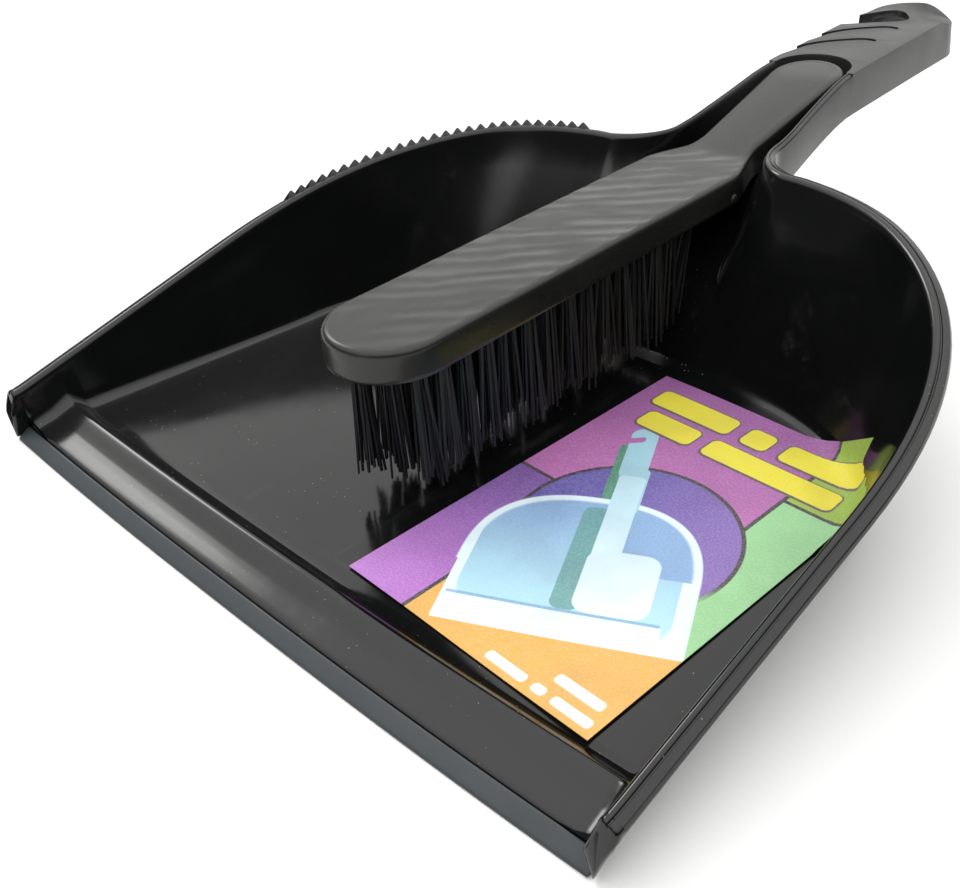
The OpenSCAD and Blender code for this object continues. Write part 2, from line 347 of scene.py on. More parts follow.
@dataclass
class Tree:
    """A node tree with short ways to add and link its nodes."""

    nodes: bpy.types.Nodes
    links: bpy.types.NodeLinks

    def add(self, kind: str, inputs: dict | None = None, **settings: object) -> bpy.types.Node:
        """Adds a node.

        Args:
            kind: Node type without its ShaderNode prefix.
            inputs: Input name or number to a value or an output socket.
            settings: Properties of the node.

        Returns:
            The node.
        """
        node = self.nodes.new("ShaderNode" + kind)
        for key, value in settings.items():
            setattr(node, key, value)
        for key, value in (inputs or {}).items():
            if isinstance(value, bpy.types.NodeSocket):
                self.links.new(value, node.inputs[key])
            else:
                node.inputs[key].default_value = value
        return node

    def math(self, operation: str, first: object, second: object = 0.0, third: object = 0.0,
             clamp: bool = False) -> bpy.types.NodeSocket:
        """Adds a Math node.

        Args:
            operation: What it does.
            first: First value or socket.
            second: Second value or socket.
            third: Third value or socket.
            clamp: Whether the result stays between 0 and 1.

        Returns:
            Its output.
        """
        node = self.add("Math", {0: first, 1: second, 2: third}, operation=operation, use_clamp=clamp)
        return node.outputs[0]

    def ramp(self, value: object, low: float, high: float, out_low: float = 0.0,
             out_high: float = 1.0) -> bpy.types.NodeSocket:
        """Maps a range of a value onto another, clamped and eased.

        Args:
            value: The value to map.
            low: Start of its range, which may be the higher end.
            high: End of its range.
            out_low: Result at the start.
            out_high: Result at the end.

        Returns:
            The mapped value.
        """
        node = self.add("MapRange", {"Value": value, "From Min": low, "From Max": high,
                                     "To Min": out_low, "To Max": out_high},
                        interpolation_type="SMOOTHSTEP")
        return node.outputs["Result"]

    def mix(self, share: object, first: object, second: object) -> bpy.types.NodeSocket:
        """Mixes two colours.

        Args:
            share: Share of the second colour.
            first: First colour or socket.
            second: Second colour or socket.

        Returns:
            The mixed colour.
        """
        node = self.add("Mix", data_type="RGBA")
        for key, value in ((0, share), (6, first), (7, second)):
            if isinstance(value, bpy.types.NodeSocket):
                self.links.new(value, node.inputs[key])
            else:
                node.inputs[key].default_value = value
        return node.outputs[2]

    def noise(self, place: object, scale: float, detail: float = 3.0,
              rough: float = 0.5) -> bpy.types.NodeSocket:
        """Adds a noise texture.

        Args:
            place: Its coordinates.
            scale: Its scale.
            detail: Number of finer layers.
            rough: Strength of the finer layers.

        Returns:
            Its value.
        """
        node = self.add("TexNoise", {"Vector": place, "Scale": scale, "Detail": detail,
                                     "Roughness": rough})
        return node.outputs["Fac"]

    def stretched(self, place: object, scale: tuple[float, float, float],
                  turn: tuple[float, float, float] = (0, 0, 0),
                  kind: str = "POINT") -> bpy.types.NodeSocket:
        """Scales and turns the coordinates of a pattern.

        Args:
            place: The coordinates.
            scale: Scale along each axis.
            turn: Turn about each axis in degrees.
            kind: POINT scales first, TEXTURE turns first and divides by the scale.

        Returns:
            The new coordinates.
        """
        node = self.add("Mapping", {"Vector": place, "Scale": scale,
                                    "Rotation": tuple(map(math.radians, turn))}, vector_type=kind)
        return node.outputs[0]

    def dress(self, shader: bpy.types.Node, colour: object, rough: object, height: object,
              strength: float, depth: float) -> None:
        """Feeds a shader its colour, its roughness and a bump.

        Args:
            shader: The shader to feed.
            colour: Its colour.
            rough: Its roughness.
            height: Height of the bump.
            strength: Share of the bump that shows.
            depth: Depth of the bump in millimetres.
        """
        self.links.new(colour, shader.inputs["Base Color"])
        self.links.new(rough, shader.inputs["Roughness"])
        bump = self.add("Bump", {"Height": height, "Strength": strength, "Distance": depth * MM})
        self.links.new(bump.outputs[0], shader.inputs["Normal"])


GroupParts = tuple[bpy.types.NodeTree, Tree, bpy.types.Node, bpy.types.Node]


def new_group(name: str, inputs: Sequence[tuple[str, str, object]],
              outputs: Sequence[tuple[str, str]]) -> GroupParts:
    """Makes an empty shader node group with named sockets.

    Args:
        name: Name of the group.
        inputs: Name, socket type and default of each input.
        outputs: Name and socket type of each output.

    Returns:
        The group, its tree, its input node and its output node.
    """
    group = bpy.data.node_groups.new(name, "ShaderNodeTree")
    for label, kind, default in inputs:
        socket = group.interface.new_socket(label, in_out="INPUT", socket_type=kind)
        if default is not None:
            socket.default_value = default
    for label, kind in outputs:
        group.interface.new_socket(label, in_out="OUTPUT", socket_type=kind)
    tree = Tree(group.nodes, group.links)
    source = group.nodes.new("NodeGroupInput")
    sink = group.nodes.new("NodeGroupOutput")
    return group, tree, source, sink


def new_material(name: str) -> tuple[bpy.types.Material, Tree, bpy.types.Node, bpy.types.NodeSocket]:
    """Makes a material with a Principled shader.

    Args:
        name: Name of the material.

    Returns:
        The material, its tree, its shader and the object coordinates.
    """
    material = bpy.data.materials.new(name)
    material.use_nodes = True
    tree = Tree(material.node_tree.nodes, material.node_tree.links)
    shader = material.node_tree.nodes["Principled BSDF"]
    place = tree.add("TexCoord").outputs["Object"]
    return material, tree, shader, place


@dataclass
class Effects:
    """Shader node groups that more than one finish uses."""

    dust: bpy.types.NodeTree | None = None
    scuffs: bpy.types.NodeTree | None = None
    flow: bpy.types.NodeTree | None = None

    def build(self) -> None:
        """Builds the groups once."""
        self.dust = self.build_dust()
        self.scuffs = self.build_scuffs()
        self.flow = self.build_flow()

    def build_dust(self) -> bpy.types.NodeTree:
        """Pale specks and lint that lie on the upward faces.

        Returns:
            The node group.
        """
        group, tree, source, sink = new_group(
            "dust_specks",
            [("Place", "NodeSocketVector", None), ("Amount", "NodeSocketFloat", 0.5),
             ("Scale", "NodeSocketFloat", 900.0)],
            [("Mask", "NodeSocketFloat")])
        cells = tree.add("TexVoronoi", {"Vector": source.outputs["Place"],
                                        "Scale": source.outputs["Scale"]}, feature="F1")
        patches = tree.noise(source.outputs["Place"], 45.0, 4.0, 0.6)
        speck = tree.ramp(cells.outputs["Distance"], 0.16, 0.07)
        chance = tree.add("SeparateColor", {"Color": cells.outputs["Color"]}).outputs[0]
        some = tree.math("GREATER_THAN", chance, 0.90)
        held = tree.math("MULTIPLY", tree.ramp(patches, 0.42, 0.62), source.outputs["Amount"])
        mask = tree.math("MULTIPLY", tree.math("MULTIPLY", speck, some), held, clamp=True)
        group.links.new(mask, sink.inputs["Mask"])
        return group

    def build_scuffs(self) -> bpy.types.NodeTree:
        """Fine rubbed streaks with cloudy patches between them.

        Returns:
            The node group.
        """
        group, tree, source, sink = new_group(
            "rubbed_scuffs",
            [("Place", "NodeSocketVector", None), ("Amount", "NodeSocketFloat", 0.5),
             ("Scale", "NodeSocketFloat", 120.0)],
            [("Mask", "NodeSocketFloat"), ("Height", "NodeSocketFloat")])
        place = source.outputs["Place"]
        long_way = tree.stretched(place, (1.0, 0.09, 1.0), (0, 0, 24))
        across = tree.stretched(place, (0.08, 1.0, 1.0), (0, 0, -13))
        first = tree.add("TexNoise", {"Vector": long_way, "Scale": source.outputs["Scale"],
                                      "Detail": 6.0, "Roughness": 0.7}).outputs["Fac"]
        second = tree.add("TexNoise", {"Vector": across, "Scale": source.outputs["Scale"],
                                       "Detail": 6.0, "Roughness": 0.7}).outputs["Fac"]
        streaks = tree.math("MAXIMUM", tree.ramp(first, 0.56, 0.74), tree.ramp(second, 0.60, 0.78))
        clouds = tree.ramp(tree.noise(place, 30.0, 5.0, 0.6), 0.40, 0.68)
        mask = tree.math("MULTIPLY", tree.math("MULTIPLY", streaks, clouds), source.outputs["Amount"],
                         clamp=True)
        group.links.new(mask, sink.inputs["Mask"])
        group.links.new(streaks, sink.inputs["Height"])
        return group

    def build_flow(self) -> bpy.types.NodeTree:
        """The slow waves and the fine skin of a moulded surface.

        Returns:
            The node group.
        """
        group, tree, source, sink = new_group(
            "moulded_skin",
            [("Place", "NodeSocketVector", None), ("Waves", "NodeSocketFloat", 1.0),
             ("Grain", "NodeSocketFloat", 1.0)],
            [("Height", "NodeSocketFloat"), ("Cloud", "NodeSocketFloat")])
        place = source.outputs["Place"]
        slow = tree.noise(place, 14.0, 2.0, 0.4)
        fine = tree.noise(place, 900.0, 3.0, 0.6)
        waves = tree.math("MULTIPLY", slow, source.outputs["Waves"])
        grain = tree.math("MULTIPLY", fine, source.outputs["Grain"])
        height = tree.math("ADD", waves, grain)
        group.links.new(height, sink.inputs["Height"])
        group.links.new(tree.noise(place, 60.0, 4.0, 0.6), sink.inputs["Cloud"])
        return group


EFFECTS = Effects()


@dataclass(frozen=True)
class MouldedPlastic:
    """Black moulded plastic, from glossy to satin, with an optional painted highlight on its ripples."""

    name: str
    shade: Colour
    gloss: float = 0.14
    gloss_spread: float = 0.08
    waves: float = 0.6
    grain: float = 0.02
    dust: float = 0.8
    scuff: float = 0.4
    scuff_shade: Colour = (0.10, 0.10, 0.10, 1.0)
    ripple: float = 0.0
    ripple_y: tuple[float, float] = (0.0, 0.0)
    # Colour of the painted highlight that the ripple bands lighten the top towards.
    ripple_highlight: Colour = srgb(104, 103, 98)
    ripple_scale: float = 52.0
    ripple_turn: float = 44.0
    ripple_fade: float = 0.07
    grip_y: tuple[float, float] | None = None

    def material(self) -> bpy.types.Material:
        """Builds the material.

        Returns:
            The material.
        """
        material, tree, shader, place = new_material(self.name)
        dust = tree.add("Group", node_tree=EFFECTS.dust)
        scuffs = tree.add("Group", node_tree=EFFECTS.scuffs)
        flow = tree.add("Group", node_tree=EFFECTS.flow)
        for node in (dust, scuffs, flow):
            tree.links.new(place, node.inputs["Place"])
        dust.inputs["Amount"].default_value = self.dust
        scuffs.inputs["Amount"].default_value = self.scuff
        flow.inputs["Waves"].default_value = self.waves
        flow.inputs["Grain"].default_value = self.grain
        facing = tree.add("SeparateXYZ", {0: tree.add("NewGeometry").outputs["Normal"]}).outputs["Z"]
        upward = tree.ramp(facing, 0.35, 0.8)
        settled = tree.math("MULTIPLY", dust.outputs["Mask"], upward)
        colour, rubbed = self.shade, scuffs.outputs["Mask"]
        gloss = tree.ramp(flow.outputs["Cloud"], 0.3, 0.7, self.gloss, self.gloss + self.gloss_spread)
        if self.grip_y:
            along = tree.add("SeparateXYZ", {0: place}).outputs["Y"]
            grip = tree.ramp(along, *self.grip_y)
            colour = tree.mix(grip, colour, srgb(40, 42, 41))
            gloss = tree.math("MULTIPLY_ADD", grip, 0.20, gloss)
            rubbed = tree.math("MULTIPLY", rubbed, tree.math("MULTIPLY_ADD", grip, 1.6, 1.0), clamp=True)
        height = flow.outputs["Height"]
        if self.ripple:
            bands = self.bands(tree, place, facing)
            height = tree.math("MULTIPLY_ADD", bands, self.ripple, height)
            # Painted highlight: the ripple bands lighten the colour, standing in for light reflected off the
            # rippled top.
            colour = tree.mix(tree.math("MULTIPLY", bands, 0.55), colour, self.ripple_highlight)
        colour = tree.mix(rubbed, colour, self.scuff_shade)
        colour = tree.mix(settled, colour, srgb(170, 172, 168))
        rough = tree.math("MULTIPLY_ADD", rubbed, 0.35, gloss, clamp=True)
        rough = tree.math("MULTIPLY_ADD", settled, 0.4, rough, clamp=True)
        tree.dress(shader, colour, rough, height, 0.5, 0.6)
        shader.inputs["IOR"].default_value = 1.49
        return material

    def bands(self, tree: Tree, place: object, facing: object) -> bpy.types.NodeSocket:
        """The short slanting waves on the upward face, between two places along Y. They bump the surface and
        mask its painted highlight.

        Args:
            tree: The tree to add to.
            place: The object coordinates.
            facing: How far the surface faces up.

        Returns:
            The height of the waves, 0 to 1.
        """
        way = tree.stretched(place, (2.2, 1.0, 1.0), (0, 0, self.ripple_turn), "TEXTURE")
        wave = tree.add("TexWave", {"Vector": way, "Scale": self.ripple_scale, "Distortion": 4.0,
                                    "Detail": 1.0, "Detail Scale": 1.6},
                        bands_direction="Y").outputs["Fac"]
        broken = tree.ramp(tree.noise(way, 120.0, 1.0, 0.4), 0.32, 0.62)
        along = tree.add("SeparateXYZ", {0: place}).outputs["Y"]
        start, stop = self.ripple_y
        reach = tree.math("MULTIPLY", tree.ramp(along, start, start + self.ripple_fade, 0.25, 1.0),
                          tree.ramp(along, stop, stop - 0.006))
        reach = tree.math("MULTIPLY", reach, tree.ramp(facing, 0.90, 0.985))
        return tree.math("MULTIPLY", tree.math("MULTIPLY", wave, broken), reach)


@dataclass(frozen=True)
class SoftStrip:
    """Slate soft plastic of the lip, dull with rubbed patches."""

    name: str = "lip_soft_plastic"
    shade: Colour = srgb(52, 58, 62)
    worn: Colour = srgb(88, 92, 94)

    def material(self) -> bpy.types.Material:
        """Builds the material.

        Returns:
            The material.
        """
        material, tree, shader, place = new_material(self.name)
        scuffs = tree.add("Group", {"Place": place, "Amount": 0.7, "Scale": 160.0}, node_tree=EFFECTS.scuffs)
        flow = tree.add("Group", {"Place": place, "Waves": 0.3, "Grain": 0.12}, node_tree=EFFECTS.flow)
        colour = tree.mix(scuffs.outputs["Mask"], self.shade, self.worn)
        rough = tree.ramp(flow.outputs["Cloud"], 0.3, 0.7, 0.38, 0.55)
        tree.dress(shader, colour, rough, flow.outputs["Height"], 0.4, 0.5)
        return material


@dataclass(frozen=True)
class BristleFibre:
    """Coarse black fibre whose shade varies from strand to strand, partly at random and partly as a painted
    bluish sheen, with painted sheen streaks along it.
    """

    name: str = "bristle_fibre"

    def material(self) -> bpy.types.Material:
        """Builds the material.

        Returns:
            The material.
        """
        material, tree, shader, place = new_material(self.name)
        strand = tree.add("Attribute", attribute_name="strand").outputs["Fac"]
        # Strand shades: partly random tone, partly a painted bluish sheen on the lighter strands.
        colour = tree.mix(strand, srgb(5, 6, 6), srgb(24, 26, 28))
        fibre_sheen_streak = tree.noise(tree.stretched(place, (1.0, 1.0, 0.05)), 2500.0, 2.0)
        # Painted sheen: lighter bluish-grey streaks along the fibres stand in for light glancing off them.
        colour = tree.mix(tree.ramp(fibre_sheen_streak, 0.5, 0.8, 0.0, 0.3), colour, srgb(46, 49, 52))
        tree.dress(shader, colour, tree.ramp(fibre_sheen_streak, 0.3, 0.7, 0.48, 0.66), fibre_sheen_streak, 0.2, 0.2)
        return material


@dataclass(frozen=True)
class DrawnWire:
    """Bright drawn steel of the tuft anchors."""

    name: str = "anchor_steel"

    def material(self) -> bpy.types.Material:
        """Builds the material.

        Returns:
            The material.
        """
        material, tree, shader, place = new_material(self.name)
        lines = tree.noise(tree.stretched(place, (0.05, 1.0, 1.0)), 4000.0, 3.0)
        colour = tree.mix(lines, srgb(140, 142, 146), srgb(196, 198, 200))
        tree.dress(shader, colour, tree.ramp(lines, 0.3, 0.7, 0.22, 0.40), lines, 0.2, 0.1)
        shader.inputs["Metallic"].default_value = 1.0
        return material


@dataclass(frozen=True)
class PrintedPaper:
    """Coated paper printed with panels, a disc, a small drawing and plain bars."""

    width: float
    length: float
    name: str = "label_print"
    line: float = 0.55
    column: float = 20.0
    right: float = 59.5
    low: float = 29.7
    middle: float = 58.0
    high: float = 89.5
    disc_x: float = 39.5
    disc_y: float = 53.0
    disc_r: float = 27.6
    drawing_x: float = 26.5
    drawing_y: float = 2.2
    drawing_turn: float = 29.0

    def material(self) -> bpy.types.Material:
        """Builds the material.

        Returns:
            The material.
        """
        material, tree, shader, place = new_material(self.name)
        chart = tree.add("SeparateXYZ", {0: tree.add("UVMap", uv_map="UVMap").outputs[0]})
        u = tree.math("MULTIPLY", chart.outputs[0], self.width)
        v = tree.math("MULTIPLY", chart.outputs[1], self.length)
        colour = self.panels(tree, u, v)
        colour = self.drawing(tree, u, v, colour)
        colour = self.bars(tree, u, v, colour)
        fibre = tree.noise(place, 1800.0, 4.0, 0.6)
        blotch = tree.noise(place, 60.0, 3.0, 0.5)
        colour = tree.mix(tree.ramp(fibre, 0.35, 0.75, 0.0, 0.16), colour, (0.9, 0.9, 0.9, 1))
        colour = tree.mix(tree.ramp(blotch, 0.4, 0.7, 0.0, 0.12), colour, (0.05, 0.03, 0.05, 1))
        tree.dress(shader, colour, tree.ramp(fibre, 0.3, 0.7, 0.42, 0.58), fibre, 0.15, 0.2)
        return material

    def above(self, tree: Tree, value: object, edge: float, soft: float = 0.12) -> bpy.types.NodeSocket:
        """A mask that is 1 where a value lies above an edge, over a soft band."""
        return tree.ramp(value, edge - soft, edge + soft)

    def both(self, tree: Tree, *masks: object) -> bpy.types.NodeSocket:
        """A mask where all the masks hold.

        Args:
            tree: The tree to add to.
            masks: The masks.

        Returns:
            Their product.
        """
        total = masks[0]
        for mask in masks[1:]:
            total = tree.math("MULTIPLY", total, mask)
        return total

    def without(self, tree: Tree, mask: object) -> bpy.types.NodeSocket:
        """The mask turned round."""
        return tree.math("SUBTRACT", 1.0, mask)

    def box(self, tree: Tree, x: object, y: object, x0: float, x1: float, y0: float, y1: float,
            corner: float = 0.8) -> bpy.types.NodeSocket:
        """A mask in the shape of a rounded box.

        Args:
            tree: The tree to add to.
            x: First coordinate in millimetres.
            y: Second coordinate in millimetres.
            x0: Left side.
            x1: Right side.
            y0: Lower side.
            y1: Upper side.
            corner: Radius of the corners.

        Returns:
            The mask.
        """
        reach = []
        for value, low, high in ((x, x0, x1), (y, y0, y1)):
            off = tree.math("ABSOLUTE", tree.math("SUBTRACT", value, (low + high) / 2))
            reach.append(tree.math("MAXIMUM", tree.math("SUBTRACT", off, (high - low) / 2 - corner), 0.0))
        away = tree.math("SQRT", tree.math("ADD", tree.math("POWER", reach[0], 2.0),
                                           tree.math("POWER", reach[1], 2.0)))
        return self.without(tree, self.above(tree, away, corner))

    def round_off(self, tree: Tree, x: object, y: object, cx: float, cy: float, rx: float,
                  ry: float, power: float = 2.0) -> bpy.types.NodeSocket:
        """How far out a place lies in a rounded oval.

        Args:
            tree: The tree to add to.
            x: First coordinate in millimetres.
            y: Second coordinate in millimetres.
            cx: Middle along the first coordinate.
            cy: Middle along the second coordinate.
            rx: Half width.
            ry: Half height.
            power: 2 is an ellipse, and more is squarer.

        Returns:
            0 in the middle and 1 on the edge.
        """
        across = tree.math("DIVIDE", tree.math("ABSOLUTE", tree.math("SUBTRACT", x, cx)), rx)
        along = tree.math("DIVIDE", tree.math("ABSOLUTE", tree.math("SUBTRACT", y, cy)), ry)
        total = tree.math("ADD", tree.math("POWER", across, power), tree.math("POWER", along, power))
        return tree.math("POWER", total, 1.0 / power)

    def panels(self, tree: Tree, u: object, v: object) -> bpy.types.NodeSocket:
        """The coloured panels, the disc and the lines between them.

        Args:
            tree: The tree to add to.
            u: Distance from the label's left edge in millimetres.
            v: Distance from its front edge in millimetres.

        Returns:
            The colour.
        """
        over_low, over_mid = self.above(tree, v, self.low), self.above(tree, v, self.middle)
        over_high = self.above(tree, v, self.high)
        past_column, past_right = self.above(tree, u, self.column), self.above(tree, u, self.right)
        pink = tree.mix(tree.ramp(v, 58, 118), srgb(188, 108, 178), srgb(158, 88, 160))
        purple = tree.mix(tree.ramp(v, 0, 58), srgb(178, 110, 196), srgb(128, 84, 168))
        colour = tree.mix(over_mid, purple, pink)
        front = self.both(tree, past_column, self.without(tree, over_low))
        colour = tree.mix(front, colour, srgb(226, 172, 78))
        colour = tree.mix(self.both(tree, past_right, over_low), colour, srgb(150, 206, 146))
        colour = tree.mix(self.both(tree, past_right, over_high), colour, srgb(152, 184, 58))
        edges = []
        for value, edge, guard in (
                (v, self.middle, self.without(tree, self.above(tree, u, self.column))),
                (u, self.column, self.without(tree, over_low)),
                (u, self.right, self.above(tree, v, self.middle + 8)),
                (v, self.high, past_right)):
            off = tree.math("ABSOLUTE", tree.math("SUBTRACT", value, edge))
            edges.append(self.both(tree, self.without(tree, self.above(tree, off, self.line)), guard))
        for edge in edges:
            colour = tree.mix(edge, colour, srgb(58, 46, 52))
        away = self.round_off(tree, u, v, self.disc_x, self.disc_y, self.disc_r, self.disc_r)
        rim = 2 * self.line / self.disc_r
        upper = self.above(tree, tree.math("SUBTRACT", v, tree.math("MULTIPLY", u, 0.6)), 8.0, 6.0)
        ring = self.both(tree, self.without(tree, self.above(tree, away, 1 + rim, 0.006)), upper)
        colour = tree.mix(ring, colour, srgb(58, 46, 52))
        disc = self.without(tree, self.above(tree, away, 1.0, 0.006))
        violet = tree.mix(tree.ramp(u, 15, 68), srgb(96, 84, 168), srgb(132, 100, 178))
        return tree.mix(disc, colour, violet)

    def drawing(self, tree: Tree, u: object, v: object, colour: object) -> bpy.types.NodeSocket:
        """The small pale drawing of a tray with a handle and a brush.

        Args:
            tree: The tree to add to.
            u: Distance from the label's left edge in millimetres.
            v: Distance from its front edge in millimetres.
            colour: The colour under the drawing.

        Returns:
            The colour with the drawing.
        """
        across, up = turned(self.drawing_turn), turned(self.drawing_turn + 90)
        du = tree.math("SUBTRACT", u, self.drawing_x)
        dv = tree.math("SUBTRACT", v, self.drawing_y)
        p = tree.math("MULTIPLY_ADD", du, across.x, tree.math("MULTIPLY", dv, across.y))
        q = tree.math("MULTIPLY_ADD", du, up.x, tree.math("MULTIPLY", dv, up.y))
        sky, ice, glare = srgb(134, 172, 216), srgb(176, 222, 238), srgb(226, 244, 252)
        arch = self.round_off(tree, p, q, 28.0, 22.0, 28.5, 29.0, 2.5)
        in_arch = self.both(tree, self.without(tree, self.above(tree, arch, 1.0, 0.01)),
                            self.above(tree, q, 20.0))
        skirt = self.box(tree, p, q, 0.0, 56.5, -0.5, 22.0, 0.6)
        tray = tree.math("MAXIMUM", in_arch, skirt)
        neck = self.box(tree, p, q, 30.0, 37.5, 46.0, 66.0, 2.0)
        grip = self.box(tree, p, q, 29.4, 36.6, 60.0, 84.5, 3.6)
        body = tree.math("MAXIMUM", tree.math("MAXIMUM", tray, neck), grip)
        shade = self.both(tree, self.box(tree, p, q, 27.4, 31.0, 50.0, 76.0, 1.2), self.without(tree, body))
        colour = tree.mix(shade, colour, srgb(76, 142, 118))
        fill = tree.mix(tree.ramp(q, 4, 50), ice, sky)
        inner = self.without(tree, self.above(tree, arch, 0.93, 0.02))
        side = self.both(tree, self.above(tree, p, 2.4), self.without(tree, self.above(tree, p, 52.5)))
        fill = tree.mix(self.both(tree, inner, side), glare, fill)
        corner = self.both(tree, self.above(tree, q, 24.0), inner, self.above(tree, p, 36.0))
        fill = tree.mix(corner, fill, sky)
        fill = tree.mix(tree.math("MAXIMUM", neck, grip), fill, srgb(160, 208, 226))
        dark = self.box(tree, p, q, 24.6, 31.5, 9.0, 47.0, 2.5)
        fill = tree.mix(tree.math("MULTIPLY", dark, 0.8), fill, srgb(84, 150, 142))
        block = tree.math("MAXIMUM", self.box(tree, p, q, 29.5, 47.0, 9.0, 31.0, 4.0),
                          self.box(tree, p, q, 30.0, 37.0, 20.0, 62.0, 1.5))
        fill = tree.mix(block, fill, tree.mix(tree.ramp(q, 10, 58), glare, srgb(190, 226, 240)))
        crease = self.both(tree, self.box(tree, p, q, 1.0, 50.0, 8.0, 9.0, 0.3), self.without(tree, block))
        fill = tree.mix(tree.math("MULTIPLY", crease, 0.7), fill, srgb(110, 150, 196))
        front = self.box(tree, p, q, 0.0, 50.5, -0.5, 8.0, 0.6)
        fill = tree.mix(front, fill, glare)
        slant = tree.math("SUBTRACT", q, tree.math("MULTIPLY", p, 0.35))
        slot = self.box(tree, p, slant, 27.0, 33.5, 66.5, 69.0, 1.0)
        body = self.both(tree, body, self.without(tree, slot))
        return tree.mix(body, colour, fill)

    def bars(self, tree: Tree, u: object, v: object, colour: object) -> bpy.types.NodeSocket:
        """Plain bars where a printed label has its words.

        Args:
            tree: The tree to add to.
            u: Distance from the label's left edge in millimetres.
            v: Distance from its front edge in millimetres.
            colour: The colour under the bars.

        Returns:
            The colour with the bars.
        """
        yellow, outline = srgb(238, 224, 40), srgb(96, 78, 84)
        strips = ((5.5, 31.5, 103.6, 111.8), (35.5, 43.5, 103.6, 111.8), (47.5, 72.0, 103.6, 111.8),
                  (9.0, 27.0, 92.6, 100.6), (31.0, 70.0, 92.6, 100.6))
        for x0, x1, y0, y1 in strips:
            border = self.box(tree, u, v, x0 - 0.5, x1 + 0.5, y0 - 0.9, y1 + 0.3, 2.4)
            colour = tree.mix(border, colour, outline)
            colour = tree.mix(self.box(tree, u, v, x0, x1, y0, y1, 2.0), colour, yellow)
        for x0, x1, y0, y1 in ((60.0, 73.0, 6.8, 9.6), (44.5, 56.0, 1.8, 4.4), (58.0, 61.5, 1.8, 4.4),
                               (63.5, 74.2, 1.8, 4.4)):
            colour = tree.mix(self.box(tree, u, v, x0, x1, y0, y1, 1.0), colour, srgb(250, 246, 236))
        return colour


# The pan ---------------------------------------------------------------------


@dataclass(frozen=True)
class Station:
    """One half section of the pan: where its floor, wall and rim run."""

    foot: Vector
    under: Vector
    edge: Vector
    out: Vector
    rim_z: float
    rim_share: float = 1.0
    fold: float = 1.9
    overhang: float = 1.0
    fillet: float = 3.5
    aside: float = 0.0


